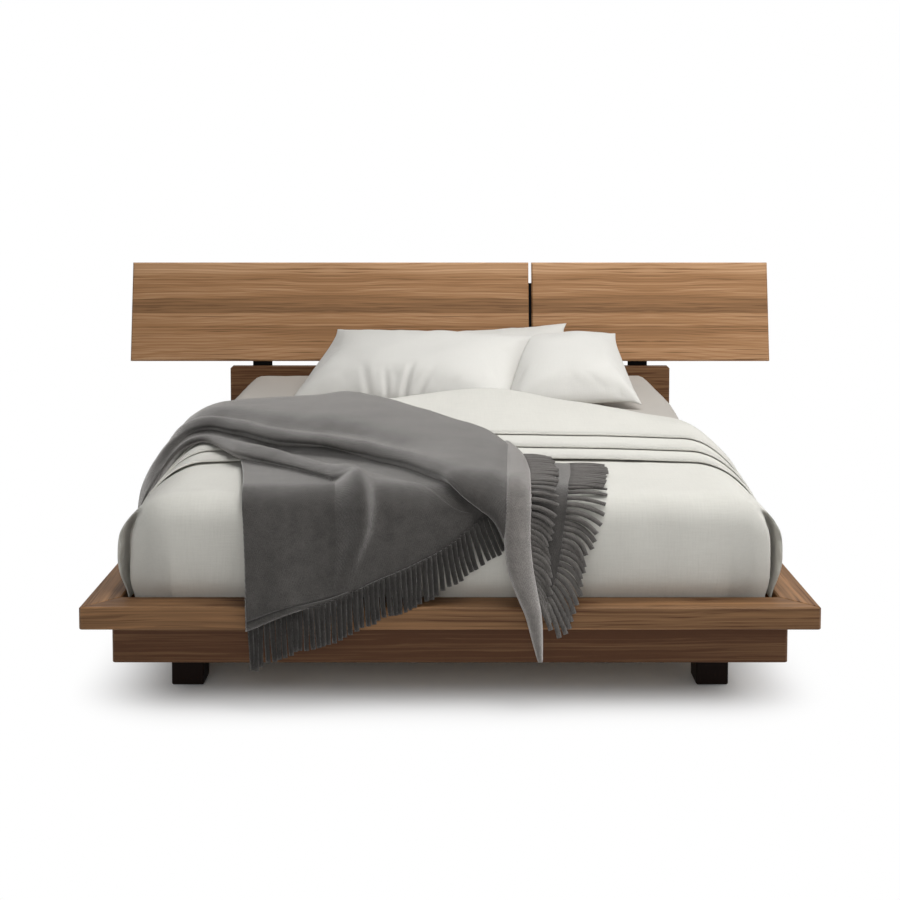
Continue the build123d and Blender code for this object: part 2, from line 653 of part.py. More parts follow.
def fall_section(bulge, hem):
    """Slice of the throw across the foot edge; a fold swells outwards, away from the bed."""
    rear = RIM_FRONT + CUFF_FOOT_EDGE - THROW_STEP
    outwards = THROW_THICKNESS + bulge / 2
    in_mid, in_end = fall_turn(0)
    out_mid, out_end = fall_turn(outwards)
    in_top = (FALL_TURN_Y, FALL_TURN_Z + FALL_RADIUS)
    out_top = (FALL_TURN_Y, FALL_TURN_Z + FALL_RADIUS + outwards)
    in_fall = RIM_FRONT - FALL_GAP
    out_fall = in_fall - THROW_THICKNESS - bulge
    knee = RIM_TOP if hem < RIM_TOP else (hem + in_end[1]) / 2
    with BuildSketch() as section:
        with BuildLine():
            Line((rear, in_top[1]), in_top)
            ThreePointArc(in_top, in_mid, in_end)
            Polyline(
                in_end,
                on_fall(in_end, in_fall, knee),
                on_fall(in_end, in_fall, hem),
                on_fall(out_end, out_fall, hem),
                on_fall(out_end, out_fall, knee),
                out_end,
            )
            ThreePointArc(out_end, out_mid, out_top)
            Polyline(out_top, (rear, out_top[1]), (rear, in_top[1]))
        make_face()
    return section.sketch


with BuildPart() as throw:
    # folds heaped on the top
    for x, front, back, crest in THROW_HEAP:
        front_y = RIM_FRONT + front
        back_y = RIM_FRONT + back
        step_y = RIM_FRONT + CUFF_FOOT_EDGE
        valleys = [
            (
                front_y + (back_y - front_y) * share,
                THROW_LOW + (THROW_HIGH - THROW_LOW) * share + THROW_VALLEY_HEIGHT,
            )
            for share in THROW_VALLEYS
        ]
        with BuildSketch(Plane.YZ.offset(x)):
            with BuildLine():
                Polyline(
                    valleys[0],
                    (front_y, THROW_LOW),
                    (step_y - THROW_STEP, THROW_LOW),
                    (step_y, THROW_HIGH),
                    (back_y, THROW_HIGH),
                    valleys[-1],
                )
                for (y_a, z_a), (y_b, z_b) in zip(valleys, valleys[1:]):
                    ThreePointArc((y_a, z_a), ((y_a + y_b) / 2, (z_a + z_b) / 2 + crest), (y_b, z_b))
            make_face()
    loft(ruled=True)
    # panel and under layer over the foot
    for stations in (THROW_FALL, THROW_FLAP):
        for x, bulge, hem in stations:
            with BuildSketch(Plane.YZ.offset(x)):
                add(fall_section(bulge, hem))
        loft(ruled=True)
    # rolled corner
    for x_low, x_high, z, bulge in THROW_TAIL:
        y_in = on_fall(fall_turn(0)[1], RIM_FRONT - FALL_GAP, z)[0]
        y_out = y_in - THROW_THICKNESS - bulge
        with BuildSketch(Plane.XY.offset(z)):
            with Locations(((x_low + x_high) / 2, (y_in + y_out) / 2)):
                Rectangle(x_high - x_low, y_in - y_out)
    loft(ruled=True)
    # fall down the left side
    turn_x = -(MATTRESS_WIDTH / 2 - MATTRESS_EDGE)
    turn_z = SHEET_TOP - MATTRESS_EDGE
    inner = CUFF_TOP - turn_z + CLOTH_CLEARANCE
    for y, bulge, hem in THROW_SIDE:
        outer = inner + THROW_THICKNESS + bulge
        in_mid, in_end = bend_over(turn_x, turn_z, inner, 0)
        out_mid, out_end = bend_over(turn_x, turn_z, outer, 0)
        rear_x = turn_x + THROW_STEP
        with BuildSketch(Plane.XZ.offset(-(RIM_FRONT + y))):
            with BuildLine():
                Line((rear_x, turn_z + inner), (turn_x, turn_z + inner))
                ThreePointArc((turn_x, turn_z + inner), in_mid, in_end)
                Polyline(in_end, (in_end[0], hem), (out_end[0], hem), out_end)
                ThreePointArc(out_end, out_mid, (turn_x, turn_z + outer))
                Polyline((turn_x, turn_z + outer), (rear_x, turn_z + outer), (rear_x, turn_z + inner))
            make_face()
    loft(ruled=True)
finish(throw, "throw")

print(len(MADE), "pieces written")
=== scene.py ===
"""Dressing for a low platform bed: bedding, pillows, a fringed throw, finishes and a studio.

Metres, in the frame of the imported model: +Z up, +X to the right seen from the foot, +Y to the head.
"""

import math
from collections import namedtuple

import bmesh
import bpy
from mathutils import Matrix, Vector, noise
from mathutils.bvhtree import BVHTree


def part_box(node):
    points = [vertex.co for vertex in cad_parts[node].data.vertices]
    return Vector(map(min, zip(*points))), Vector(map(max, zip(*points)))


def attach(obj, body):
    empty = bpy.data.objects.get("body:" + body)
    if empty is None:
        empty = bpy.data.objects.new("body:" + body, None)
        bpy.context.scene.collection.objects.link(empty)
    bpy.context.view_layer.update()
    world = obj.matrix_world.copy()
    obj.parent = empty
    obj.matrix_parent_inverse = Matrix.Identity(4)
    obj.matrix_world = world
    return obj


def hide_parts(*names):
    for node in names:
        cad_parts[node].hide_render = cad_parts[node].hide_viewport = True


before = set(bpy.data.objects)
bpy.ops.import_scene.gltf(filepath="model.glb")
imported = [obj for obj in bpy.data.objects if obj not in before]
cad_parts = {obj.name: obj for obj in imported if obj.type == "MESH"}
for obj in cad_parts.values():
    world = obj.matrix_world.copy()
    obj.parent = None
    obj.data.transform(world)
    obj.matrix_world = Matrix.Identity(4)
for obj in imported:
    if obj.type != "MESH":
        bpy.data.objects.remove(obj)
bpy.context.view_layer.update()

bl_info = {
    "name": "Platform bed dressing",
    "version": (1, 0, 0),
    "blender": (4, 5, 0),
    "location": "View3D > Sidebar > Bed",
    "description": "Bedding, finishes and a studio for the packed platform bed",
    "category": "Object",
}

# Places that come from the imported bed
RIM_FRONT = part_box("rim_foot")[0].y
RIM_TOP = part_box("rim_foot")[1].z
SHEET_LOW, SHEET_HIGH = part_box("fitted_sheet")
COVER_LOW, COVER_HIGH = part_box("coverlet")
MATTRESS_LOW, MATTRESS_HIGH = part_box("mattress")

# Rounding of the bedding over the mattress edge, at the foot and at the sides
EDGE_RADIUS = 0.062
SIDE_RADIUS = 0.125
COVER_FLAT = COVER_HIGH.x - SIDE_RADIUS
COVER_EDGE = COVER_LOW.y + EDGE_RADIUS - RIM_FRONT
COVER_TOP = COVER_HIGH.z
QUARTER = math.pi / 2
# How square the corners are in plan: 2 is an ellipse
CORNER_FULLNESS = 3.0


# Property groups

class BedFinishes(bpy.types.PropertyGroup):
    """Colours of the bed and its bedding."""

    def colour(name, description, default):
        return bpy.props.FloatVectorProperty(
            name=name, description=description, default=default, subtype="COLOR", min=0, max=1, size=3
        )

    walnut_light: colour("Light walnut", "Palest streaks of the veneer", (0.55, 0.338, 0.190))
    walnut_middle: colour("Walnut", "Main tone of the veneer", (0.325, 0.168, 0.074))
    walnut_dark: colour("Dark walnut", "Grain lines and dark bands", (0.075, 0.028, 0.009))
    # Near-black: the dark stain of the feet, darkened further as painted shade under the apron
    foot_stain_and_shade: colour("Foot stain", "Stain of the block feet", (0.006, 0.0025, 0.0015))
    pine: colour("Pine", "Slats and hidden timber", (0.60, 0.42, 0.235))
    steel: colour("Black steel", "Brackets and plates", (0.004, 0.004, 0.0045))
    zinc: colour("Zinc", "Screws, bolts and levellers", (0.42, 0.42, 0.43))
    linen: colour("Linen", "Coverlet", (0.632, 0.620, 0.570))
    cotton: colour("Pillow cotton", "Pillowcases", (0.66, 0.648, 0.612))
    sheet: colour("Sheet cotton", "Fitted sheet", (0.455, 0.425, 0.385))
    ticking: colour("Ticking", "Mattress cover", (0.68, 0.67, 0.64))
    wool: colour("Wool", "Throw", (0.049, 0.0455, 0.0425))
    floor: colour("Floor", "Studio floor", (0.86, 0.86, 0.86))


class BedSizes(bpy.types.PropertyGroup):
    """Sizes of the dressing."""

    def length(name, description, default):
        return bpy.props.FloatProperty(
            name=name, description=description, default=default, subtype="DISTANCE", unit="LENGTH", min=0
        )

    cover_thickness: length("Cover thickness", "Thickness of the coverlet cloth", 0.004)
    wool_thickness: length("Wool thickness", "Thickness of the throw", 0.0045)
    strand_length: length("Fringe length", "Length of a fringe strand", 0.092)
    strand_width: length("Strand width", "Width of a fringe strand", 0.0118)
    strand_pitch: length("Strand pitch", "Distance between fringe strands", 0.0132)
    pillow_cell: length("Pillow cell", "Mesh size of a pillowcase", 0.011)
    camera_distance: length("Camera distance", "From the front of the rim to the camera", 2.987)
    camera_height: length("Camera height", "Above the floor", 1.209)


# Small geometry helpers

def smooth(low, high, value):
    """0 below low, 1 above high, with a soft step between."""
    t = min(max((value - low) / (high - low), 0), 1)
    return t * t * (3 - 2 * t)


def bell(value, width):
    """1 at zero, falling away over this width."""
    return math.exp(-((value / width) ** 2))


def through(points, share):
    """Point at this share of the way along a smooth line through the points."""
    place = min(max(share, 0), 1) * (len(points) - 1)
    index = min(int(place), len(points) - 2)
    t = place - index
    last = len(points) - 1
    before, a, b, after = (points[min(max(index + k, 0), last)] for k in (-1, 0, 1, 2))
    curve = 2 * before - 5 * a + 4 * b - after + (3 * (a - b) + after - before) * t
    return a + ((b - before) + curve * t) * (0.5 * t)


def line_height(points, x):
    """Height at x of a line through points that are given left to right."""
    for (xa, ya), (xb, yb) in zip(points, points[1:]):
        if x <= xb:
            return ya + (yb - ya) * max(x - xa, 0) / (xb - xa)
    return points[-1][1]


def turn_down(past, radius, limit=QUARTER):
    """How far out and down a cloth is, this far past the start of a rounded edge, and the angle there."""
    if past <= 0:
        return past, 0, 0
    angle = min(past / radius, limit)
    rest = past - radius * angle
    out = radius * math.sin(angle) + rest * math.cos(angle)
    down = radius * (1 - math.cos(angle)) + rest * math.sin(angle)
    return out, down, angle


def ripple(point, scale, height, seed=0):
    """Soft, repeatable unevenness of a cloth."""
    return height * noise.noise(Vector(point) * scale + Vector((seed, 2 * seed, 3 * seed)))


def flat_grid(bm, columns, rows, flat, start=0):
    """Unit grid added to a bmesh, with a UV map in metres that begins at start; its vertices."""
    uv = bm.loops.layers.uv.get("cloth") or bm.loops.layers.uv.new("cloth")
    made = bmesh.ops.create_grid(bm, x_segments=columns, y_segments=rows, size=0.5)["verts"]
    for face in {f for v in made for f in v.link_faces}:
        for loop in face.loops:
            loop[uv].uv = (start + (loop.vert.co.x + 0.5) * flat[0], (loop.vert.co.y + 0.5) * flat[1])
    return made


def cloth_grid(columns, rows, place, flat, bm=None, start=0):
    """Grid of cloth whose points are placed by their shares of the way across and along."""
    bm = bm or bmesh.new()
    for vert in flat_grid(bm, columns, rows, flat, start):
        vert.co = place(vert.co.x + 0.5, vert.co.y + 0.5)
    return bm


def piece_from(bm, name, material, body, replaces=(), thickness=0, levels=0, offset=-1):
    """Turn a bmesh into a finished piece that rides on a body."""
    mesh = bpy.data.meshes.new(name)
    bm.to_mesh(mesh)
    bm.free()
    for polygon in mesh.polygons:
        polygon.use_smooth = True
    piece = bpy.data.objects.new(name, mesh)
    bpy.context.scene.collection.objects.link(piece)
    mesh.materials.append(material)
    if thickness:
        solid = piece.modifiers.new("thickness", "SOLIDIFY")
        solid.thickness = thickness
        solid.offset = offset
    if levels:
        rounding = piece.modifiers.new("rounding", "SUBSURF")
        rounding.levels = levels
        rounding.render_levels = levels
    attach(piece, body)
    if replaces:
        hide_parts(*replaces)
    return piece


# Materials

class Term:
    """A number that varies over a surface; arithmetic on it adds Math nodes."""

    def __init__(self, tree, socket):
        self.tree = tree
        self.socket = socket

    def maths(self, operation, *others):
        node = self.tree.nodes.new("ShaderNodeMath")
        node.operation = operation
        for slot, value in zip(node.inputs, (self, *others)):
            plug(self.tree, slot, value)
        return Term(self.tree, node.outputs[0])

    def __add__(self, other):
        return self.maths("ADD", other)

    def __sub__(self, other):
        return self.maths("SUBTRACT", other)

    def __mul__(self, other):
        return self.maths("MULTIPLY", other)

    def __rsub__(self, other):
        return self * -1 + other

    def __pow__(self, other):
        return self.maths("POWER", other)

    def __abs__(self):
        return self.maths("ABSOLUTE")

    def __lt__(self, other):
        return self.maths("LESS_THAN", other)

    def __gt__(self, other):
        return self.maths("GREATER_THAN", other)

    __radd__ = __add__
    __rmul__ = __mul__

    def wave(self):
        """0 to 1 and back, once in every unit."""
        return (self * math.tau).maths("SINE") * 0.5 + 0.5

    def hill(self, width):
        """1 where this is zero, falling away over the width."""
        scaled = self * (1 / width)
        return (scaled * scaled * -1).maths("EXPONENT")


def plug(tree, slot, value):
    """Link a term to a socket, or set the socket's own value."""
    if isinstance(value, Term):
        tree.links.new(value.socket, slot)
    elif isinstance(value, bpy.types.NodeSocket):
        tree.links.new(value, slot)
    else:
        slot.default_value = value


class Nodes:
    """Nodes of a material or of the world."""

    def __init__(self, tree):
        self.tree = tree

    def node(self, kind, settings=None, inputs=None):
        """A node of that kind; its settings are set first, then the values or links of its sockets."""
        node = self.tree.nodes.new(kind)
        for key, value in (settings or {}).items():
            setattr(node, key, value)
        for key, value in (inputs or {}).items():
            plug(self.tree, node.inputs[key], value)
        return node

    def term(self, node, output=0):
        return Term(self.tree, node.outputs[output])


class Finish(Nodes):
    """A material in the making, with one shader."""

    def __init__(self, name, constants=None):
        self.material = bpy.data.materials.new(name)
        self.material.use_nodes = True
        super().__init__(self.material.node_tree)
        self.shader = self.tree.nodes["Principled BSDF"]
        for socket, value in (constants or {}).items():
            self.shader.inputs[socket].default_value = value

    def place(self):
        """The three coordinates of the piece."""
        coords = self.node("ShaderNodeTexCoord").outputs["Object"]
        split = self.node("ShaderNodeSeparateXYZ", inputs={0: coords})
        return [self.term(split, k) for k in range(3)]

    def cloth_place(self):
        """The two coordinates of a cloth, in metres along its threads."""
        coords = self.node("ShaderNodeUVMap", {"uv_map": "cloth"}).outputs[0]
        split = self.node("ShaderNodeSeparateXYZ", inputs={0: coords})
        return [self.term(split, k) for k in range(2)]

    def noise(self, coords, detail=2.0, roughness=0.5):
        """Noise from 0 to 1 at coordinates that are already scaled."""
        vector = self.node("ShaderNodeCombineXYZ", inputs=dict(enumerate(coords)))
        texture = self.node(
            "ShaderNodeTexNoise",
            inputs={"Vector": vector.outputs[0], "Scale": 1.0, "Detail": detail, "Roughness": roughness},
        )
        return self.term(texture)

    def ramp(self, factor, stops):
        """Colour for a factor, through stops of (place, colour)."""
        node = self.node("ShaderNodeValToRGB", inputs={0: factor})
        elements = node.color_ramp.elements
        while len(elements) < len(stops):
            elements.new(0.5)
        for element, (place, colour) in zip(elements, stops):
            element.position = place
            element.color = (*colour, 1)
        return node.outputs[0]

    def blend(self, factor, first, second):
        """Mix of two colours."""
        sockets = {0: factor, 6: opaque(first), 7: opaque(second)}
        return self.node("ShaderNodeMix", {"data_type": "RGBA"}, sockets).outputs[2]

    def done(self, colour=None, roughness=None, height=None, depth=0.001):
        """Feed the shader and hand over the material; depth is the bump's, in metres."""
        if colour is not None:
            plug(self.tree, self.shader.inputs["Base Color"], opaque(colour))
        if roughness is not None:
            plug(self.tree, self.shader.inputs["Roughness"], roughness)
        if height is not None:
            bump = self.node("ShaderNodeBump", inputs={"Distance": depth, "Height": height})
            plug(self.tree, self.shader.inputs["Normal"], bump.outputs[0])
        return self.material


def opaque(colour):
    """A colour with its alpha, or a socket as it is."""
    if isinstance(colour, bpy.types.NodeSocket):
        return colour
    return (*tuple(colour)[:3], 1)


def darker(colour, share):
    """A colour scaled to this share of its brightness."""
    return tuple(c * share for c in tuple(colour)[:3])


def walnut(name, colours, along, across, tone=0.0, mirror=None, seam=None):
    """Oiled walnut veneer with its grain along one axis.

    mirror is where two leaves meet as mirror images, and seam the height where the upper leaf begins."""
    finish = Finish(name, {"Specular IOR Level": 0.20})
    place = finish.place()
    depth = place[3 - along - across]
    run = place[along]
    rise = place[across]
    if mirror is not None:
        run = abs(run - mirror)
    drift = finish.noise((run * 1.1, rise * 5, depth * 2), 3) - 0.5
    streak = finish.noise((run * 0.8, rise * 34 + drift * 5, depth * 9), 4, 0.62)
    fine = finish.noise((run * 1.3, rise * 230 + drift * 8, depth * 70), 3, 0.6)
    fibre = finish.noise((run * 7, rise * 420, depth * 160), 2)
    pores = finish.noise((run * 26, rise * 900, depth * 300), 1)
    spots = finish.noise((run * 4, rise * 190 + drift * 7, depth * 40), 2)
    flecks = (spots.maths("MAXIMUM", 0.60) - 0.60) * 2.8
    shade = 0.34 + tone + (streak - 0.5) * 0.70 + (fine - 0.5) * 0.75 + (fibre - 0.5) * 0.22 + flecks
    if seam is None:
        figure = rise * 44 + drift * 3
        lines = figure.wave() ** 6
        shade = shade + lines * (streak > 0.47) * 0.13
    else:
        upper = rise > seam
        hump = run.hill(0.34) * 0.035
        figure = (rise - hump + upper * hump * 1.6) * 74 + drift * 6
        lines = figure.wave() ** 5
        band = (rise - (seam + 0.012)).hill(0.045) * upper
        pale = (rise - (seam + 0.19)).hill(0.045) * upper
        eye = (rise - (seam - 0.075)).hill(0.06) * run.hill(0.42) * (1 - upper)
        shade = shade + lines * 0.11 * (0.4 + streak) + band * 0.26 - pale * 0.20 + eye * 0.13
        shade = shade + upper * 0.05
    colour = finish.ramp(
        shade,
        [
            (0.0, colours.walnut_light),
            (0.38, colours.walnut_middle),
            (0.72, darker(colours.walnut_middle, 0.52)),
            (1.0, colours.walnut_dark),
        ],
    )
    roughness = 0.44 + streak * 0.16 + pores * 0.06
    return finish.done(colour, roughness, fibre * 0.6 + pores * 0.4 - shade * 0.3, 0.0006)


def plain_timber(name, colour, along, across, contrast=0.30, roughness=0.6, specular=0.35):
    """Straight-grained timber, sawn and sanded."""
    finish = Finish(name, {"Specular IOR Level": specular})
    place = finish.place()
    depth = place[3 - along - across]
    streak = finish.noise((place[along] * 1.4, place[across] * 60, depth * 60), 3, 0.6)
    fibre = finish.noise((place[along] * 9, place[across] * 420, depth * 420), 2)
    shade = streak * 0.75 + fibre * 0.25
    tint = finish.blend(shade, darker(colour, 1 + contrast), darker(colour, 1 - contrast))
    return finish.done(tint, roughness + fibre * 0.12, fibre, 0.0005)


def metal(name, colour, roughness, metallic, specular=0.5):
    """Metal with a faint uneven surface and fine brushing."""
    finish = Finish(name, {"Metallic": metallic, "Specular IOR Level": specular})
    x, y, z = finish.place()
    cloud = finish.noise((x * 9, y * 9, z * 9), 3)
    grit = finish.noise((x * 700, y * 700, z * 160), 2)
    tint = finish.blend(cloud, darker(colour, 0.85), darker(colour, 1.2))
    return finish.done(tint, roughness + (grit - 0.5) * 0.16, grit, 0.0002)


def woven(name, colour, pitch, slub, contrast, relief, sheen=0.15, roughness=0.86):
    """Plain weave: crossing threads at this pitch, with slubs along both."""
    finish = Finish(name, {"Specular IOR Level": 0.2, "Sheen Weight": sheen, "Sheen Roughness": 0.5})
    u, v = finish.cloth_place()
    warp = (u * (1 / pitch)).wave()
    weft = (v * (1 / pitch)).wave()
    slub_u = finish.noise((u * (0.5 / pitch), v * 22, 0.0), 2)
    slub_v = finish.noise((u * 22, v * (0.5 / pitch), 4.0), 2)
    cloud = finish.noise((u * 7, v * 7, 9.0), 3)
    shade = slub_u * slub + slub_v * slub + warp * weft * 0.3 + cloud * 0.35
    tint = finish.blend(shade, darker(colour, 1 - contrast), darker(colour, 1 + contrast))
    height = warp * 0.3 + weft * 0.3 + slub_u * 0.4 + slub_v * 0.4
    return finish.done(tint, roughness + (slub_u - 0.5) * 0.1, height, relief)


# Start of the UVs of wool painted paler: painted highlight where the band and the strands at the right
# catch the light
PAINTED_HIGHLIGHT_UV = 20
# Sunk line of stitches beside the hem of the throw, darkened as painted shade: distance from the hem and
# width
STITCH_INSET = 0.016
STITCH_WIDTH = 0.0028


def twill_wool(name, colour, sheen, stitched):
    """Milled wool twill: fine diagonal ribs under a short, uneven nap.

    stitched adds a sunk line beside the hem, darkened as painted shade. UVs that start past the highlight
    offset take a paler copy of the wool, as painted highlight."""
    finish = Finish(name, {
        "Specular IOR Level": 0.05,
        "Sheen Weight": sheen,
        "Sheen Roughness": 0.48,
        "Sheen Tint": (1, 0.97, 0.94, 1),
    })
    u, v = finish.cloth_place()
    x, y, z = finish.place()
    rib = ((x + y) * 230).wave()
    fleck = finish.noise((x * 420, y * 420, z * 420), 2, 0.7)
    nap = finish.noise((x * 34, y * 34, z * 34), 4, 0.65)
    shade = rib * 0.12 + (fleck - 0.5) * 1.6 + (nap - 0.5) * 1.1 + 0.60
    height = rib * 0.18 + fleck * 0.9 + nap * 0.5
    if stitched:
        seam = (v - STITCH_INSET).hill(STITCH_WIDTH)
        # Painted shade: the sunk stitch line is darkened in the colour as well as sunk in the bump
        shade = shade - seam * 0.8
        height = height - seam * 2
    face = finish.blend(shade, darker(colour, 0.40), darker(colour, 1.5))
    # Paler copy of the wool: painted highlight on the band and the strands at the right
    back = finish.blend(shade, darker(colour, 1.6), darker(colour, 4.6))
    tint = finish.blend(u > PAINTED_HIGHLIGHT_UV / 2, face, back)
    return finish.done(tint, 0.9 + (nap - 0.5) * 0.12, height, 0.0016)


def glide_plastic(name):
    """Moulded plastic with a fine spark texture."""
    finish = Finish(name, {"Specular IOR Level": 0.4})
    x, y, z = finish.place()
    grain = finish.noise((x * 900, y * 900, z * 900), 2)
    tint = finish.blend(grain, (0.011, 0.011, 0.012), (0.02, 0.02, 0.021))
    return finish.done(tint, 0.55 + grain * 0.2, grain, 0.0002)


# Bedding

def boxed(u, v, top, hem, flat, front, back, side_radius, end_radius, hang):
    """Point of a cloth laid over the mattress, and the way it faces there.

    u runs across and v along, in metres on the flat top; flat is half its width, front and back its ends.
    Past these, u and v run on by 1 at the hem. hang moves a hanging point outwards, from how far round the
    corner it is (0 at the side, 1 at an end) and how far down."""
    side = max(abs(u) - flat, 0)
    foot = front - v
    head = v - back
    end = max(foot, head, 0)
    share = max(side, end)
    if share <= 0:
        return Vector((u, v, top)), Vector((0, 0, 1))
    turn = math.atan2(end, side)
    across, along = math.cos(turn) / side_radius, math.sin(turn) / end_radius
    radius = (across ** CORNER_FULLNESS + along ** CORNER_FULLNESS) ** (-1 / CORNER_FULLNESS)
    out, down, angle = turn_down(share * (radius * QUARTER + top - radius - hem), radius)
    out += hang(turn / QUARTER, down)
    sign = 1 if u > 0 else -1
    way = Vector((sign * math.cos(turn), -math.sin(turn) if foot > head else math.sin(turn), 0))
    start = Vector((
        sign * flat if side > 0 else u,
        front if foot > 0 else (back if head > 0 else v),
        top - down,
    ))
    return start + way * out, way * math.sin(angle) + Vector((0, 0, math.cos(angle)))


def past_flat(share, low, high, before, after):
    """Place on a cloth at a share of its length; before and after are its lengths past the flat."""
    place = share * (before + high - low + after) - before
    if place < 0:
        return low + place / before
    if after and place > high - low:
        return high + (place - (high - low)) / after
    return low + place


# Mattress: set in from its solid, and rounded at the upright corners, the top and the bottom
MATTRESS_INSET = 0.004
MATTRESS_CORNER = 0.20
MATTRESS_TOP_ROUND = 0.112
MATTRESS_BOTTOM_ROUND = 0.09


def build_mattress(context):
    """Foam mattress in a knitted cover."""
    material = woven("mattress_knit", context.scene.bed_finishes.ticking, 0.004, 0.3, 0.10, 0.0012)
    low = MATTRESS_LOW + Vector((MATTRESS_INSET, MATTRESS_INSET, 0))
    high = MATTRESS_HIGH - Vector((MATTRESS_INSET, MATTRESS_INSET, MATTRESS_INSET))
    size = high - low
    place = Matrix.Translation((low + high) / 2) @ Matrix.Diagonal((*size, 1))
    bm = bmesh.new()
    bmesh.ops.create_cube(bm, size=1, matrix=place)
    uprights = [e for e in bm.edges if abs(e.verts[0].co.z - e.verts[1].co.z) > size.z / 2]
    bmesh.ops.bevel(
        bm, geom=uprights, offset=MATTRESS_CORNER, segments=12, profile=0.5, affect="EDGES", material=-1
    )
    for level, radius in ((high.z, MATTRESS_TOP_ROUND), (low.z, MATTRESS_BOTTOM_ROUND)):
        rim = [e for e in bm.edges if all(abs(v.co.z - level) < 1e-5 for v in e.verts)]
        bmesh.ops.bevel(bm, geom=rim, offset=radius, segments=6, profile=0.5, affect="EDGES", material=-1)
    bm.normal_update()
    uv = bm.loops.layers.uv.new("cloth")
    for face in bm.faces:
        upright = abs(face.normal.z) < 0.5
        for loop in face.loops:
            co = loop.vert.co
            loop[uv].uv = (co.x + co.y, co.z) if upright else (co.x, co.y)
    piece = piece_from(bm, "mattress_pad", material, "bedding", ["mattress"])


# Hanging cloth drawn in at its hem: how far, and over what length
TUCK_DEPTH = 0.012
TUCK_LENGTH = 0.06


def tuck(down, drop):
    """How far a cloth that hangs this far down, of its whole drop, is drawn in towards the mattress."""
    return TUCK_DEPTH * smooth(drop - TUCK_LENGTH, drop, down)


# Fitted sheet: rounding over the ends, at the sides under the cover and at the bare head, the pull of its
# elastic at the corners, and its thickness
SHEET_END_RADIUS = 0.060
SHEET_SIDE_RADIUS = 0.115
SHEET_HEAD_RADIUS = 0.055
CORNER_PULL = 0.065
SHEET_THICKNESS = 0.0012


def build_fitted_sheet(context):
    """Fitted sheet drawn over the mattress, with soft pulls at its corners."""
    colours = context.scene.bed_finishes
    material = woven("sheet_percale", colours.sheet, 0.0016, 0.3, 0.07, 0.0005)
    top = SHEET_HIGH.z - 0.0005
    hem = SHEET_LOW.z + 0.004
    front = SHEET_LOW.y + SHEET_END_RADIUS
    back = SHEET_HIGH.y - SHEET_END_RADIUS
    end_wrap = SHEET_END_RADIUS * QUARTER + top - SHEET_END_RADIUS - hem
    size = (2 * (SHEET_HIGH.x + top - hem - 0.04), back - front + 2 * end_wrap)

    def hang(facing, down):
        corner = CORNER_PULL * bell(facing - 0.32, 0.22) * smooth(0, 0.15, facing) * smooth(0, 0.14, down)
        return -corner - tuck(down, COVER_TOP - RIM_TOP)

    def place(a, b):
        v = past_flat(b, front, back, end_wrap, end_wrap)
        bare = smooth(1.10, 1.55, v - RIM_FRONT)
        side_radius = SHEET_SIDE_RADIUS + (SHEET_HEAD_RADIUS - SHEET_SIDE_RADIUS) * bare
        flat = SHEET_HIGH.x - side_radius
        side_wrap = side_radius * QUARTER + top - side_radius - hem
        u = past_flat(a, -flat, flat, side_wrap, side_wrap)
        point, normal = boxed(u, v, top, hem, flat, front, back, side_radius, SHEET_END_RADIUS, hang)
        pull = smooth(0.25, 0, abs(abs(u) - flat) + min(abs(v - back), abs(v - front)))
        wave = ripple(point, 5, 0.0016) + ripple(point, 16, 0.0010 + 0.0016 * pull, 3)
        return point + normal * min(wave, 0.001)

    bm = cloth_grid(110, 140, place, size)
    piece = piece_from(
        bm, "fitted_sheet_cotton", material, "bedding", ["fitted_sheet"], SHEET_THICKNESS
    )


# Coverlet: its upper end under the cuff, from the rim front, and its hem below the rim's top
COVER_END = 0.86
COVER_TUCKED = 0.018
# Swell of its foot end, and the lip of the flap that stands out at each corner
FOOT_SWELL = 0.009
FLAP_LIP = 0.014
# Pleat beside the flap: its depth, and where it opens and closes on the way round the corner
PLEAT_DEPTH = 0.085
PLEAT_OPENS = (0.145, 0.17)
PLEAT_CLOSES = (0.275, 0.25)


def build_coverlet(context):
    """Linen coverlet tucked inside the rim, with a pleat at each corner."""
    scene = context.scene
    material = woven("coverlet_linen", scene.bed_finishes.linen, 0.0022, 0.55, 0.085, 0.0009)
    front = RIM_FRONT + COVER_EDGE
    back = RIM_FRONT + COVER_END
    hem = RIM_TOP - COVER_TUCKED
    drop = COVER_TOP - hem
    side_wrap, end_wrap = (r * QUARTER + drop - r for r in (SIDE_RADIUS, EDGE_RADIUS))
    size = (2 * (COVER_FLAT + side_wrap), back - front + end_wrap)

    def hang(facing, down):
        swell = FOOT_SWELL * math.sin(math.pi * min(down / drop, 1)) * smooth(0, 1, facing)
        free = smooth(0.02, 0.10, down) * smooth(drop - 0.02, drop - 0.10, down)
        lip = FLAP_LIP * bell(facing - 0.08, 0.08) * free
        return swell + lip - tuck(down, drop)

    def place(a, b):
        u = past_flat(a, -COVER_FLAT, COVER_FLAT, side_wrap, side_wrap)
        v = past_flat(b, front, back, end_wrap, 0)
        point, normal = boxed(
            u, v, COVER_TOP, hem, COVER_FLAT, front, back + 1, SIDE_RADIUS, EDGE_RADIUS, hang
        )
        fall = smooth(0, 0.05, COVER_TOP - point.z)
        wave = ripple(point, 3.2, 0.0040)
        wave += ripple((point.x * 2, point.y * 2, point.z), 7, 0.0018 * (1 + fall), 5)
        lift = (cover_crown(point.x) + wave) * smooth(RIM_TOP - 0.01, RIM_TOP + 0.07, point.z)
        facing = math.atan2(max(front - v, 0), max(abs(u) - COVER_FLAT, 0)) / QUARTER
        pleat = smooth(*PLEAT_OPENS, facing) * smooth(*PLEAT_CLOSES, facing)
        pleat *= smooth(0.035, 0.075, COVER_TOP - point.z)
        return point + normal * lift + Vector((0, PLEAT_DEPTH * pleat, 0))

    bm = cloth_grid(130, 90, place, size)
    piece = piece_from(
        bm, "coverlet_linen", material, "bedding", ["coverlet"],
        scene.bed_sizes.cover_thickness, 1,
    )


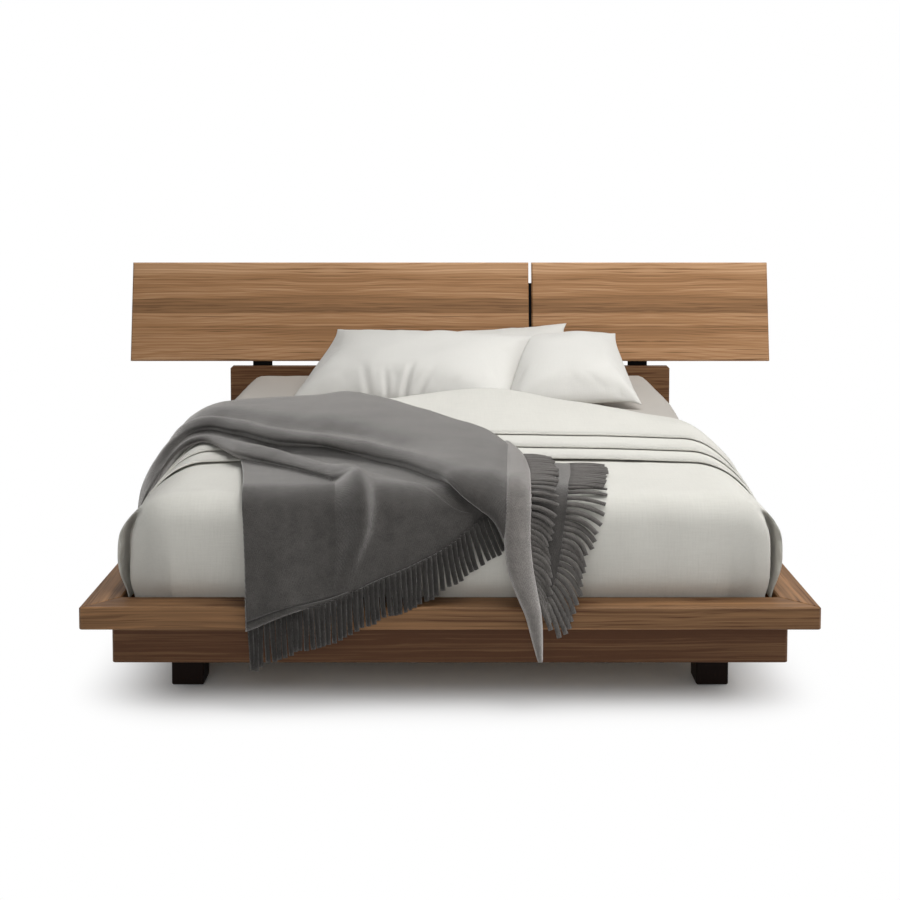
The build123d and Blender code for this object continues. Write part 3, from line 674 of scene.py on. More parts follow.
# Head edge of the folded cuff: across the bed and distance from the rim front
CUFF_HEAD = (
    (-1.0, 0.46), (-0.72, 0.78), (-0.5, 0.93), (-0.2, 1.12), (0.0, 1.255), (0.11, 1.29), (0.21, 1.25),
    (0.34, 1.131), (0.51, 0.985), (0.69, 0.80), (0.78, 0.68), (1.0, 0.44),
)
# Foot edges of its three layers, at the middle of the bed
CUFF_EDGES = (0.462, 0.548, 0.660)
# How far the cuff hangs on past the rounded sides
CUFF_DROP = 0.10


def cuff_row(across):
    """Section through the folded cuff: distance from the rim front and lift off the cover."""
    past = max(abs(across) - COVER_FLAT, 0)
    slack = 0.10 * min(abs(across), COVER_FLAT) ** 2 + 0.85 * past
    low, middle, high = (edge - slack for edge in CUFF_EDGES)
    soft = sum(line_height(CUFF_HEAD, across + step) for step in (-0.05, -0.025, 0, 0.025, 0.05)) / 5
    head = max(soft, high + 0.10)
    span = head - high
    # Along the bed, and lift in mm: from under the cuff round each layer's edge, then under the head edge
    rows = (
        (low + 0.14, 1.5), (low + 0.05, 1.5), (low + 0.004, 1.5), (low, 6), (low + 0.010, 10.5),
        (low + 0.045, 11.5), (middle + 0.068, 11.5), (middle + 0.074, 13), (middle + 0.05, 14),
        (middle + 0.004, 13.5), (middle, 18), (middle + 0.010, 22.5), (middle + 0.05, 24),
        (high + 0.072, 24), (high + 0.078, 26), (high + 0.05, 27), (high + 0.004, 26), (high, 30),
        (high + 0.008, 33.5), (high + 0.04, 35), (high + span * 0.35, 38), (high + span * 0.65, 43),
        (head - 0.045, 48), (head - 0.010, 45), (head, 37), (head - 0.010, 28), (head - 0.05, 18),
        (head - 0.12, 12),
    )
    return [Vector((across, y, lift / 1000)) for y, lift in rows]


# Rise of the cover at the middle of the bed, and the gap of the cloths that lie on it
CROWN = 0.006
COVER_GAP = 0.003


def cover_crown(across):
    """Rise of the cover towards the middle of the bed."""
    return CROWN * (1 - (across / COVER_HIGH.x) ** 2) if abs(across) < COVER_HIGH.x else 0


def over_bed(point):
    """Place of a cloth point given across the bed, along it and by its lift, all over the rounded edges."""
    across, along, lift = point
    lift += cover_crown(across) + COVER_GAP
    side = abs(across) - COVER_FLAT
    sign = 1 if across > 0 else -1
    foot = COVER_EDGE - along
    if side > 0:
        out, down, angle = turn_down(side, SIDE_RADIUS)
        return Vector((
            sign * (COVER_FLAT + out + lift * math.sin(angle)),
            RIM_FRONT + along,
            COVER_TOP - down + lift * math.cos(angle),
        ))
    if foot > 0:
        y, z, angle = foot_fall(foot)
        return Vector((across, y - lift * math.sin(angle), z + lift * math.cos(angle)))
    return Vector((across, RIM_FRONT + along, COVER_TOP + lift))


# Throw between the mattress edge and the rim: its slope there, and its gap off the rim's front
FALL_LEAN = math.radians(67.6)
FALL_CLEARANCE = 0.005


def foot_fall(past):
    """A throw over the foot: round the edge, straight to the rim, then plumb. Y, Z and the angle turned."""
    out, down, angle = turn_down(past, EDGE_RADIUS, FALL_LEAN)
    y = RIM_FRONT + COVER_EDGE - out
    rim = RIM_FRONT - FALL_CLEARANCE
    if y >= rim:
        return y, COVER_TOP - down, angle
    beyond = (rim - y) / math.cos(FALL_LEAN)
    soft = smooth(0, 0.05, beyond)
    return rim, COVER_TOP - down + beyond * math.sin(FALL_LEAN) - beyond, angle + (QUARTER - angle) * soft


def build_cuff(context):
    """Upper edge of the coverlet, folded back in three layers and pulled up in the middle."""
    scene = context.scene
    material = bpy.data.materials["coverlet_linen"]
    across = COVER_FLAT + SIDE_RADIUS * QUARTER + CUFF_DROP
    sections = {}

    def place(a, b):
        u = (2 * a - 1) * across
        if a not in sections:
            sections[a] = cuff_row(u)
        point = through(sections[a], b)
        # The layers lie flatter over the sides, most of all under the throw on the left
        flatter = (0.45 if u > 0 else 0.80) * smooth(0, 0.10, abs(u) - COVER_FLAT)
        lift = point.z * (1 - flatter)
        open_top = smooth(0.66, 0.75, b) * smooth(1.0, 0.9, b)
        puff = bell(u - 0.11, 0.28) * smooth(0.95, 1.25, point.y) * 0.010
        wave = ripple((u, point.y, 0), 4, 0.0035, 2) + ripple((u * 3, point.y * 1.4, 0), 5, 0.0020, 7)
        roll = ripple((u * 1.6, 0, 0), 3, 0.0030, 4 + int(b * 4) * 2)
        return over_bed((u, point.y + roll, lift + puff * open_top + wave * (0.25 + open_top)))

    bm = cloth_grid(108, 106, place, (2 * across, 1.45))
    piece = piece_from(
        bm, "coverlet_cuff_linen", material, "bedding", ["coverlet_cuff"],
        scene.bed_sizes.cover_thickness * 0.8, 1,
    )


# Pillows, the uppermost first: above and below are the swell off the seam, middle is from the rim front
Pillow = namedtuple("Pillow", "width depth above below middle tilt turn roll fill")
PILLOWS = {
    "pillow_left": Pillow(0.79, 0.52, 0.086, 0.047, (-0.118, 1.57, 0.558), 23.5, -17.5, 0, 0.7),
    "pillow_right": Pillow(0.46, 0.51, 0.082, 0.042, (0.388, 1.510, 0.562), 21, 4, -3, 0.7),
    "pillow_back": Pillow(0.91, 0.44, 0.066, 0.050, (0.005, 1.895, 0.538), 24, 0, -5.5, 0.75),
}
# How far the sides of a pillow are drawn in by its swell, as shares of its width and depth
DRAWN_IN = (0.045, 0.070)
# Unevenness of the filling, its shift towards the foot, and the droop of the corners there
FILL_UNEVEN = 0.006
FILL_SHIFT = 0.016
CORNER_DROOP = 0.022
# Creases pressed into a pillow: start and end as shares of its half width and half depth, depth and width
PILLOW_CREASES = {
    "pillow_back": (),
    "pillow_right": (((0.75, -0.98), (0.55, -0.70), 0.006, 0.020),),
    "pillow_left": (
        ((0.16, -1.0), (0.30, -0.45), 0.016, 0.012),
        ((0.07, -1.0), (0.10, -0.40), 0.020, 0.011),
        ((-0.04, -1.0), (-0.14, -0.50), 0.014, 0.010),
        ((-0.18, -1.0), (-0.36, -0.42), 0.010, 0.014),
        ((0.30, -1.0), (0.52, -0.60), 0.010, 0.012),
    ),
}
# Settling of the filled case: steps, pressure of the filling and the farthest that a point moves
INFLATE_FRAMES = 20
INFLATE_PRESSURE = 4.0
INFLATE_LIMIT = 0.012
# Gaps of a pillow off the sheet, and of its upper and under side below what lies on it
SHEET_GAP = 0.004
UPPER_GAP = 0.005
UNDER_GAP = 0.010
# Least thickness of a pillow that is pressed flat
PRESSED = 0.006


def pillow_bag(pillow, cell):
    """Two panels sewn round the edge and already swollen, with drawn-in sides and pointed corners."""
    width, depth = pillow.width, pillow.depth
    bm = bmesh.new()
    for swell in (pillow.above, -pillow.below):
        made = flat_grid(bm, round(width / cell), round(depth / cell), (width, depth))
        for vert in made:
            x, y = vert.co.x * 2, vert.co.y * 2
            full = max(1 - abs(x) ** 2.6, 0) ** 0.72 * max(1 - abs(y) ** 2.6, 0) ** 0.72
            draw_x = 1 - DRAWN_IN[0] * (1 - y ** 4)
            draw_y = 1 - DRAWN_IN[1] * (1 - x ** 4)
            vert.co = Vector((x * draw_x * width / 2, y * draw_y * depth / 2, swell * full))
        if swell < 0:
            bmesh.ops.reverse_faces(bm, faces=list({f for v in made for f in v.link_faces}))
    bmesh.ops.remove_doubles(bm, verts=bm.verts, dist=1e-5)
    return bm


def settle(bm, name):
    """Let the cloth of a sewn bag settle under the pressure of its filling; no point moves far."""
    mesh = bpy.data.meshes.new(name)
    bm.to_mesh(mesh)
    bag = bpy.data.objects.new(name, mesh)
    scene = bpy.context.scene
    scene.collection.objects.link(bag)
    cloth = bag.modifiers.new("cloth", "CLOTH")
    cloth.settings.quality = 6
    cloth.settings.mass = 0.25
    cloth.settings.tension_stiffness = 18
    cloth.settings.compression_stiffness = 18
    cloth.settings.shear_stiffness = 6
    cloth.settings.bending_stiffness = 0.25
    cloth.settings.use_pressure = True
    cloth.settings.uniform_pressure_force = INFLATE_PRESSURE
    cloth.settings.effector_weights.gravity = 0
    cloth.collision_settings.use_collision = False
    cloth.point_cache.frame_end = INFLATE_FRAMES
    for step in range(1, INFLATE_FRAMES + 1):
        scene.frame_set(step)
    settled = bag.evaluated_get(bpy.context.evaluated_depsgraph_get()).data
    for vert, place in zip(bm.verts, [v.co.copy() for v in settled.vertices]):
        move = place - vert.co
        vert.co += move * min(INFLATE_LIMIT / max(move.length, 1e-9), 1)
    bpy.data.objects.remove(bag)
    bpy.data.meshes.remove(mesh)
    scene.frame_set(1)


def surface_of(piece):
    """Search tree of a finished piece."""
    return BVHTree.FromObject(piece, bpy.context.evaluated_depsgraph_get())


def press(bm, over):
    """Keep a pillow on the sheet and below what lies on it."""
    sheet = SHEET_HIGH.z + SHEET_GAP
    for vert in bm.verts:
        top = vert.normal.z > 0
        for cover in over:
            hit = cover.ray_cast(Vector((vert.co.x, vert.co.y, 0)), Vector((0, 0, 1)))[0]
            if hit:
                vert.co.z = min(vert.co.z, hit.z - (UPPER_GAP if top else UNDER_GAP))
        vert.co.z = max(vert.co.z, sheet + (PRESSED if top else 0))


def pillow_lift(vert, pillow, creases):
    """How far a point of a swollen pillow rises or sinks: uneven filling, drooping corners and creases."""
    half_width, half_depth = pillow.width / 2, pillow.depth / 2
    spot = Vector((vert.co.x, vert.co.y, 0))
    x, y = vert.co.x / half_width, vert.co.y / half_depth
    inside = max(1 - abs(x) ** 3, 0) * max(1 - abs(y) ** 3, 0)
    lift = ripple(spot, 8, FILL_UNEVEN, 1) * inside
    lift -= CORNER_DROOP * max(-y, 0) ** 6 * abs(x) ** 6
    if vert.normal.z <= 0:
        return lift
    lift -= FILL_SHIFT * y * inside
    for (xa, ya), (xb, yb), dent, wide in creases:
        start = Vector((xa * half_width, ya * half_depth, 0))
        run = Vector((xb * half_width, yb * half_depth, 0)) - start
        t = min(max((spot - start).dot(run) / run.length_squared, 0), 1)
        away = (spot - start - run * t).length
        lift -= dent * bell(away, wide * (0.5 + t)) * (1 - t) ** 0.7
        lift += dent * 0.5 * bell(away - wide * 1.3, wide) * (1 - t)
    return lift


def build_pillows(context):
    """Three soft pillows in plain cases, settled by simulation and laid as they lean."""
    scene = context.scene
    material = woven("pillow_percale", scene.bed_finishes.cotton, 0.0018, 0.35, 0.055, 0.0006)
    over = [surface_of(bpy.data.objects["coverlet_cuff_linen"])]
    for name, pillow in PILLOWS.items():
        bm = pillow_bag(pillow, scene.bed_sizes.pillow_cell)
        settle(bm, name)
        bm.normal_update()
        for vert in bm.verts:
            vert.co.z += pillow_lift(vert, pillow, PILLOW_CREASES[name])
        x, y, z = pillow.middle
        place = Matrix.Translation((x, RIM_FRONT + y, z))
        for angle, axis in ((pillow.turn, "Z"), (pillow.tilt, "X"), (pillow.roll, "Y")):
            place = place @ Matrix.Rotation(math.radians(angle), 4, axis)
        bm.transform(place)
        press(bm, over)
        piece = piece_from(bm, f"{name}_case", material, name, [name], levels=1)
        over.append(surface_of(piece))


# Throw: a net of points given across the bed, along it from the rim front, and lifted off the cover in mm.
# Each row runs from the hem over the foot, under or down from the front roll, to the head edge.
# Rows run from the left side to the right; the seventh is the left foot of the ridge over the foot end.
THROW_FOLDS = (
    ((-.875, .55, 2), (-.875, .52, 2), (-.875, .48, 2), (-.875, .44, 3), (-.875, .40, 4), (-.875, .38, 8),
     (-.875, .365, 10), (-.875, .36, 12), (-.875, .36, 14), (-.875, .37, 18), (-.875, .44, 24),
     (-.875, .54, 10), (-.875, .65, 24), (-.875, .79, 12), (-.875, .90, 20), (-.875, .98, 6)),
    ((-.80, .62, 3), (-.80, .58, 3), (-.80, .55, 3), (-.80, .51, 4), (-.80, .47, 5), (-.80, .46, 7),
     (-.80, .45, 9), (-.80, .44, 11), (-.80, .43, 12), (-.80, .42, 18), (-.80, .50, 44), (-.79, .62, 26),
     (-.79, .72, 38), (-.78, .85, 40), (-.78, .96, 42), (-.78, 1.01, 8)),
    ((-.67, .80, 14), (-.67, .76, 14), (-.67, .71, 16), (-.67, .66, 18), (-.67, .62, 20), (-.67, .60, 22),
     (-.675, .56, 32), (-.68, .57, 42), (-.685, .59, 30), (-.69, .64, 44), (-.69, .635, 62),
     (-.70, .68, 76), (-.71, .77, 46), (-.73, .88, 68), (-.735, 1.00, 60), (-.735, 1.05, 14)),
    ((-.54, .58, 6), (-.54, .55, 6), (-.54, .51, 6), (-.54, .48, 7), (-.54, .45, 8), (-.54, .43, 10),
     (-.54, .39, 30), (-.545, .445, 50), (-.575, .53, 27), (-.578, .60, 35), (-.58, .59, 56),
     (-.585, .635, 74), (-.60, .73, 53), (-.63, .86, 74), (-.65, 1.08, 54), (-.655, 1.12, 12)),
    ((-.44, .50, 2), (-.44, .46, 2), (-.43, .42, 2), (-.43, .39, 3), (-.425, .365, 5), (-.425, .345, 8),
     (-.42, .297, 25), (-.43, .36, 42), (-.445, .43, 12), (-.45, .52, 25), (-.45, .48, 48),
     (-.455, .525, 68), (-.47, .63, 46), (-.50, .78, 71), (-.53, 1.11, 54), (-.535, 1.16, 12)),
    ((-.335, .36, 2), (-.33, .33, 2), (-.325, .30, 2), (-.32, .28, 3), (-.315, .26, 5), (-.315, .24, 8),
     (-.313, .19, 21), (-.32, .25, 35), (-.33, .34, 8), (-.335, .515, 20), (-.337, .43, 42),
     (-.342, .475, 62), (-.36, .59, 42), (-.385, .75, 69), (-.41, 1.16, 54), (-.415, 1.21, 12)),
    ((-.30, -.15, 4), (-.29, -.09, 5), (-.272, -.005, 6), (-.268, .045, 7), (-.270, .095, 8),
     (-.272, .14, 12), (-.272, .155, 27), (-.282, .22, 36), (-.292, .31, 7), (-.297, .495, 18),
     (-.30, .42, 38), (-.305, .465, 58), (-.32, .58, 40), (-.345, .74, 69), (-.37, 1.20, 54),
     (-.375, 1.25, 12)),
    ((-.246, -.138, 9), (-.232, -.078, 20), (-.208, .0, 34), (-.201, .05, 40), (-.207, .09, 43),
     (-.218, .125, 43), (-.228, .16, 41), (-.24, .215, 36), (-.25, .285, 6), (-.255, .455, 13),
     (-.26, .405, 34), (-.265, .45, 54), (-.278, .56, 40), (-.30, .72, 68), (-.325, 1.23, 54),
     (-.33, 1.28, 12)),
    ((-.18, -.103, 8), (-.188, -.055, 10), (-.170, .01, 13), (-.164, .06, 15), (-.168, .098, 16),
     (-.175, .13, 17), (-.181, .16, 17), (-.185, .20, 14), (-.189, .26, 7), (-.191, .375, 10),
     (-.193, .36, 32), (-.20, .405, 52), (-.21, .51, 38), (-.22, .67, 65), (-.24, 1.14, 54),
     (-.245, 1.19, 12)),
    ((-.09, -.064, 7), (-.09, -.03, 9), (-.088, .01, 11), (-.087, .04, 12), (-.088, .07, 12),
     (-.089, .095, 12), (-.091, .12, 11), (-.094, .145, 9), (-.097, .175, 7), (-.10, .275, 10),
     (-.104, .26, 32), (-.108, .305, 50), (-.12, .41, 39), (-.14, .59, 60), (-.155, 1.02, 54),
     (-.16, 1.07, 12)),
    ((.0, -.015, 6), (.0, .0, 7), (.0, .014, 8), (.0, .028, 9), (.0, .04, 9), (.0, .05, 9), (.0, .06, 9),
     (.0, .07, 9), (.0, .08, 8), (.0, .125, 11), (.0, .11, 32), (.0, .155, 48), (.0, .27, 48),
     (.0, .48, 54), (.0, .76, 54), (.0, .80, 10)),
    ((.09, .052, 4), (.09, .052, 4), (.09, .051, 4), (.09, .051, 4), (.09, .05, 4), (.09, .05, 5),
     (.09, .05, 5), (.09, .049, 6), (.09, .048, 6), (.09, .06, 9), (.09, .052, 24), (.091, .085, 38),
     (.095, .17, 42), (.10, .33, 44), (.105, .60, 46), (.108, .65, 10)),
    ((.125, .035, 3), (.125, .034, 3), (.125, .031, 3), (.125, .028, 3), (.124, .023, 3), (.123, .018, 3),
     (.122, .013, 4), (.122, .008, 5), (.122, .004, 5), (.122, .012, 7), (.124, .002, 14), (.127, .03, 24),
     (.133, .12, 28), (.14, .26, 32), (.15, .46, 36), (.156, .51, 8)),
)
# Hem over the foot: across and height above the floor
HEM = (
    (-.458, .190), (-.36, .222), (-.273, .245), (-.165, .288), (-.069, .326), (.0, .363), (.044, .395),
    (.094, .433),
)


def fall_along(height):
    """Distance along a throw, from the rim front, of a point of the fall at this height."""
    low, high = 0.0, 0.9
    for _ in range(40):
        middle = (low + high) / 2
        if foot_fall(middle)[1] > height:
            low = middle
        else:
            high = middle
    return COVER_EDGE - low


# Left panel over the foot, that comes out from under the front roll: across and height at the hem,
# across and along at the upper end
PANEL = (
    (-.460, .190, -.54, .42), (-.36, .222, -.42, .34), (-.273, .245, -.31, .26), (-.22, .265, -.235, .22),
    (-.19, .279, -.195, .18),
)


def panel_point(a, b):
    """Left panel: a from left to right, b from the hem up, before it is laid over the bed."""
    foot = through([Vector((x, fall_along(hem))) for x, hem, _, _ in PANEL], a)
    head = through([Vector(station[2:]) for station in PANEL], a)
    across = foot.x + (head.x - foot.x) * b ** 1.6
    along = foot.y + (head.y - foot.y) * b
    hanging = smooth(0.12, -0.05, along)
    wave = 10 * bell(across + 0.385, 0.05) + 5 * bell(across + 0.45, 0.02) - 3 * bell(across + 0.31, 0.04)
    hollow = 3 * bell(across + 0.28, 0.04) * smooth(0.14, 0.06, along) * smooth(-0.10, 0.0, along)
    lift = 10 + (wave + 3) * hanging - hollow - 6 * smooth(-0.25, -0.19, across)
    return Vector((across, along, max(lift, 5) / 1000))


# Band at the right, that ends in the rolled corner: along, left and right edge
BAND = (
    (.52, .135, .165), (.42, .132, .186), (.25, .136, .192), (.10, .130, .186), (.0, .127, .182),
    (-.07, .134, .187), (-.13, .155, .197), (-.18, .176, .205), (-.23, .190, .207), (-.262, .199, .207),
)
# Section of the band: share of its width and lift in mm
BAND_SECTION = (
    (0.30, 5), (0.02, 8), (0.0, 18), (0.18, 31), (0.5, 34), (0.8, 30), (1.0, 20), (0.98, 11), (0.6, 7),
)
# Under layer at the right: along, left and right edge
UNDER = (
    (.37, .16, .305), (.25, .15, .296), (.12, .145, .278), (.02, .145, .262), (-.06, .150, .248),
    (-.11, .16, .232), (-.15, .185, .212),
)
UNDER_SECTION = ((0.0, 6), (0.35, 8), (0.7, 7), (0.93, 6), (1.0, 8))


def strip_point(stations, section, a, b):
    """Point of a strip of cloth, a along its length and b across its section."""
    along, left, right = through([Vector(s) for s in stations], a)
    share, lift = through([Vector(s) for s in section], b)
    return Vector((left + (right - left) * share, along, lift / 1000))


def lay_strip(bm, columns, rows, stations, section, flat, start=0):
    """Add a strip of cloth, laid over the bed, to a bmesh."""
    def place(a, b):
        return over_bed(strip_point(stations, section, a, b))

    cloth_grid(columns, rows, place, flat, bm, start)


def wool_ripple(point):
    """Small dents of thick wool."""
    return ripple(point, 9, 0.0034, 8) + ripple(point, 24, 0.0012, 9)


def build_throw(context):
    """Wool throw: rolled folds across the bed, a panel over the foot and a rolled corner."""
    scene = context.scene
    material = twill_wool("throw_wool", scene.bed_finishes.wool, 1.0, True)
    folds = [[Vector((x, y, lift / 1000)) for x, y, lift in row] for row in THROW_FOLDS]
    columns = {}

    def fold_place(a, b):
        if b not in columns:
            columns[b] = [through(row, b) for row in folds]
        point = through(columns[b], a)
        return over_bed(point + Vector((0, 0, wool_ripple(point))))

    bm = cloth_grid(170, 170, fold_place, (1.35, 1.55))

    def panel_place(a, b):
        point = panel_point(a, b)
        return over_bed(point + Vector((0, 0, wool_ripple(point) * 0.6)))

    cloth_grid(60, 80, panel_place, (0.32, 0.62), bm)
    # The band is painted paler where it catches the light: painted highlight
    lay_strip(bm, 80, 30, BAND, BAND_SECTION, (0.85, 0.12), PAINTED_HIGHLIGHT_UV)
    lay_strip(bm, 46, 16, UNDER, UNDER_SECTION, (0.55, 0.14))
    bmesh.ops.recalc_face_normals(bm, faces=bm.faces)
    thick = scene.bed_sizes.wool_thickness
    piece = piece_from(bm, "throw_wool", material, "throw", ["throw"], thick, offset=0)
    # Darker copy of the wool for the fringe: painted shade of strands hanging in front of the foot
    fringe_wool_painted_shade = twill_wool("fringe_wool_painted_shade", darker(scene.bed_finishes.wool, 0.6), 0.3, False)
    fringe = build_fringe(scene, fringe_wool_painted_shade)


def wander(seed, row):
    """A repeatable number between about -0.6 and 0.6 for each strand."""
    return noise.noise(Vector((seed * 0.437, row * 1.7, 0.3)))


# Rise of a strand's middle over its edges, and its thickness
STRAND_CUP = 0.0016
STRAND_THICKNESS = 0.0028


def strand(bm, start, way, fall, facing, length, width, seed, side=0):
    """One flat strand of the fringe: it leaves its root along way and bends towards fall.

    side starts its UVs; past the highlight offset the strand is painted paler, as painted highlight."""
    way = way.normalized()
    fall = fall.normalized()
    middle = start + way * (length * 0.5)
    end = middle + fall * (length * 0.5)
    twist = wander(seed, 3) * 0.5

    def place(a, t):
        edge = a - 0.5
        spot = start.lerp(middle, t).lerp(middle.lerp(end, t), t)
        ahead = way.lerp(fall, t).normalized()
        flat = Matrix.Rotation(twist * t, 3, ahead) @ ahead.cross(facing).normalized()
        sideways = width * edge * (1 - 0.12 * t) + 0.03 * length * wander(seed, 5 + t) * t
        cup = STRAND_CUP * (1 - 4 * edge * edge)
        return spot + flat * sideways + flat.cross(ahead) * cup

    cloth_grid(2, 7, place, (width, length), bm, side + seed * 0.013)


def even_shares(points, pitch):
    """Shares along a smooth line through the points, at even steps of about the pitch."""
    steps = 400
    fine = [through(points, k / steps) for k in range(steps + 1)]
    walked = [0]
    for a, b in zip(fine, fine[1:]):
        walked.append(walked[-1] + (b - a).length)
    count = round(walked[-1] / pitch)
    return [sum(w < (k + 0.5) * walked[-1] / count for w in walked) / steps for k in range(count)]


def build_fringe(scene, material):
    """Cut strands along the hems of the throw."""
    sizes = scene.bed_sizes
    bm = bmesh.new()
    width, pitch, length = sizes.strand_width, sizes.strand_pitch, sizes.strand_length
    front = Vector((0, -1, 0.25))
    seed = 0
    hem = [Vector((x, fall_along(z), 0.012)) for x, z in HEM]
    for share in even_shares(hem, pitch):
        seed += 1
        root = over_bed(through(hem, share)) + Vector((0, -0.001, 0.002))
        lean = 0.06 + 0.46 * smooth(0.55, 1, share) + 0.10 * wander(seed, 0)
        way = Vector((lean * 0.6, -0.10, -1))
        fall = Vector((lean, -0.02 + 0.08 * wander(seed, 1), -1))
        long = length * (1 + 0.12 * wander(seed, 2))
        strand(bm, root, way, fall, front, long, width, seed)
    # Strips at the right: place across the section, first and last place along it, share of the length
    for stations, section, row, first, last, share_of_length in (
        (UNDER, UNDER_SECTION, 0.97, 0.02, 0.98, 0.95),
        (BAND, BAND_SECTION, 0.80, 0.10, 0.70, 0.74),
    ):
        edge = [strip_point(stations, section, first + (last - first) * k / 20, row) for k in range(21)]
        for share in even_shares(edge, pitch):
            seed += 1
            spot = through(edge, share)
            root = over_bed(spot)
            hanging = smooth(0.13, 0.0, spot.y)
            low = smooth(-0.04, -0.14, spot.y)
            stray = wander(seed, 1)
            way = Vector((1, -0.10 - 0.15 * hanging + 0.3 * stray, 0.08 - 0.15 * hanging - 1.6 * low))
            lying = Vector((1, -0.35 + 0.6 * stray, -0.05 - 0.10 * abs(stray)))
            falling = Vector((0.26 + 0.15 * stray, -0.25 + 0.22 * low, -1))
            fall = lying.lerp(falling, hanging)
            facing = Vector((0, -0.3, 1)).lerp(front, hanging)
            long = length * (share_of_length + 0.12 * stray)
            # Strands at the right take the painted highlight of the lit band
            strand(bm, root, way, fall, facing, long, width, seed, PAINTED_HIGHLIGHT_UV)
    return piece_from(
        bm, "throw_fringe", material, "throw", thickness=STRAND_THICKNESS, offset=0
    )


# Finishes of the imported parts

# Line where the headboard's leaves meet, as a share of its height
HEADBOARD_SEAM = 0.49


def build_finishes(context):
    """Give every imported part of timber, metal or plastic its material."""
    colours = context.scene.bed_finishes
    finishes = {
        "walnut_across": walnut("walnut_across", colours, 0, 2, 0.32),
        "walnut_along": walnut("walnut_along", colours, 1, 0, 0.25),
        # Darker copy of the walnut for the apron: painted shade under the overhanging rim
        "walnut_apron_painted_shade": walnut("walnut_apron_painted_shade", colours, 0, 2, 0.66),
        "walnut_headrail": walnut("walnut_headrail", colours, 0, 2, 0.50),
        # Feet: dark stain with painted shade under the apron
        "foot_stain_and_shade": plain_timber("foot_stain_and_shade", colours.foot_stain_and_shade, 2, 0, 0.45, 0.5, 0.08),
        "pine_across": plain_timber("pine_across", colours.pine, 0, 1),
        "pine_along": plain_timber("pine_along", colours.pine, 1, 0),
        "pine_up": plain_timber("pine_up", colours.pine, 2, 0),
        "steel": metal("black_steel", colours.steel, 0.55, 0.0, 0.06),
        "zinc": metal("zinc_steel", colours.zinc, 0.34, 1.0),
        "plastic": glide_plastic("glide_plastic"),
    }
    low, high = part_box("headboard_panel_left")
    seam = low.z + (high.z - low.z) * HEADBOARD_SEAM
    for side in ("left", "right"):
        low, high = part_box(f"headboard_panel_{side}")
        middle = (low.x + high.x) / 2
        veneer = walnut(f"walnut_headboard_{side}", colours, 0, 2, -0.04, middle, seam)
        finishes[f"headboard_panel_{side}"] = veneer
    starts = (
        ("rim_foot", "walnut_across"), ("rim_", "walnut_along"), ("apron_foot", "walnut_apron_painted_shade"),
        ("apron_", "walnut_along"), ("headrail", "walnut_headrail"), ("foot_glides", "plastic"),
        ("foot_bolts", "zinc"), ("foot_", "foot_stain_and_shade"), ("bracket_", "zinc"), ("joining_", "zinc"),
        ("leveller", "zinc"), ("headboard_bracket", "steel"), ("headboard_joining", "steel"),
        ("head_angle", "steel"), ("slat", "pine_across"), ("bearer", "pine_across"),
        ("ledger", "pine_along"), ("centre_beam", "pine_along"), ("centre_leg", "pine_up"),
        ("corner_block", "pine_up"),
    )
    for name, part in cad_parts.items():
        key = name if name in finishes else next((f for start, f in starts if name.startswith(start)), None)
        if key:
            part.data.materials.clear()
            part.data.materials.append(finishes[key])


# Studio

# Half size of the floor, then of the part that keeps its shadow, across and along, and its fade to white
FLOOR_HALF = 14
SHADE_HALF = (0.60, 0.90)
SHADE_FADE = 0.32
# Light of the white surroundings on the bed
WORLD_LIGHT = 0.10
# Area lights: place, aim, size and power
LIGHTS = {
    "top_light": ((0.7, -0.7, 3.3), (0, -0.2, 0.4), 2.6, 104),
    "right_light": ((4.2, -1.4, 2.3), (0, 0, 0.4), 1.8, 56),
    "front_light": ((-0.4, -5.6, 1.9), (0, 0, 0.4), 2.6, 54),
}
# Camera: width of its sensor and length of its lens in mm, shift as a share of the picture, and tilt
SENSOR_WIDTH = 36
LENS_LENGTH = 53.42
LENS_SHIFT = -0.2197
CAMERA_TILT = math.radians(86.855)


def build_studio(context):
    """White floor, soft lights and the camera."""
    scene = context.scene
    sizes = scene.bed_sizes
    bm = bmesh.new()
    bmesh.ops.create_grid(bm, x_segments=1, y_segments=1, size=FLOOR_HALF)
    mesh = bpy.data.meshes.new("floor")
    bm.to_mesh(mesh)
    bm.free()
    floor = bpy.data.objects.new("floor", mesh)
    scene.collection.objects.link(floor)
    mesh.materials.append(floor_material(scene.bed_finishes.floor))
    white_world(scene)
    for name, (spot, aim, size, power) in LIGHTS.items():
        lamp = bpy.data.lights.new(name, "AREA")
        lamp.size = size
        lamp.energy = power
        light = bpy.data.objects.new(name, lamp)
        light.location = spot
        light.rotation_euler = (Vector(aim) - Vector(spot)).to_track_quat("-Z", "Y").to_euler()
        scene.collection.objects.link(light)
    lens = bpy.data.cameras.new("camera")
    lens.sensor_width = SENSOR_WIDTH
    lens.lens = LENS_LENGTH
    lens.shift_y = LENS_SHIFT
    camera = bpy.data.objects.new("camera", lens)
    camera.location = (0, RIM_FRONT - sizes.camera_distance, sizes.camera_height)
    camera.rotation_euler = (CAMERA_TILT, 0, 0)
    scene.collection.objects.link(camera)
    scene.camera = camera
    scene.view_settings.view_transform = "Standard"


def seen_rays(nodes):
    """1 for rays that show the background to the eye, in a mirror or through glass."""
    path = nodes.node("ShaderNodeLightPath")
    camera, glossy, through_glass = (
        nodes.term(path, name) for name in ("Is Camera Ray", "Is Glossy Ray", "Is Transmission Ray")
    )
    return (camera + glossy + through_glass).maths("MINIMUM", 1.0)


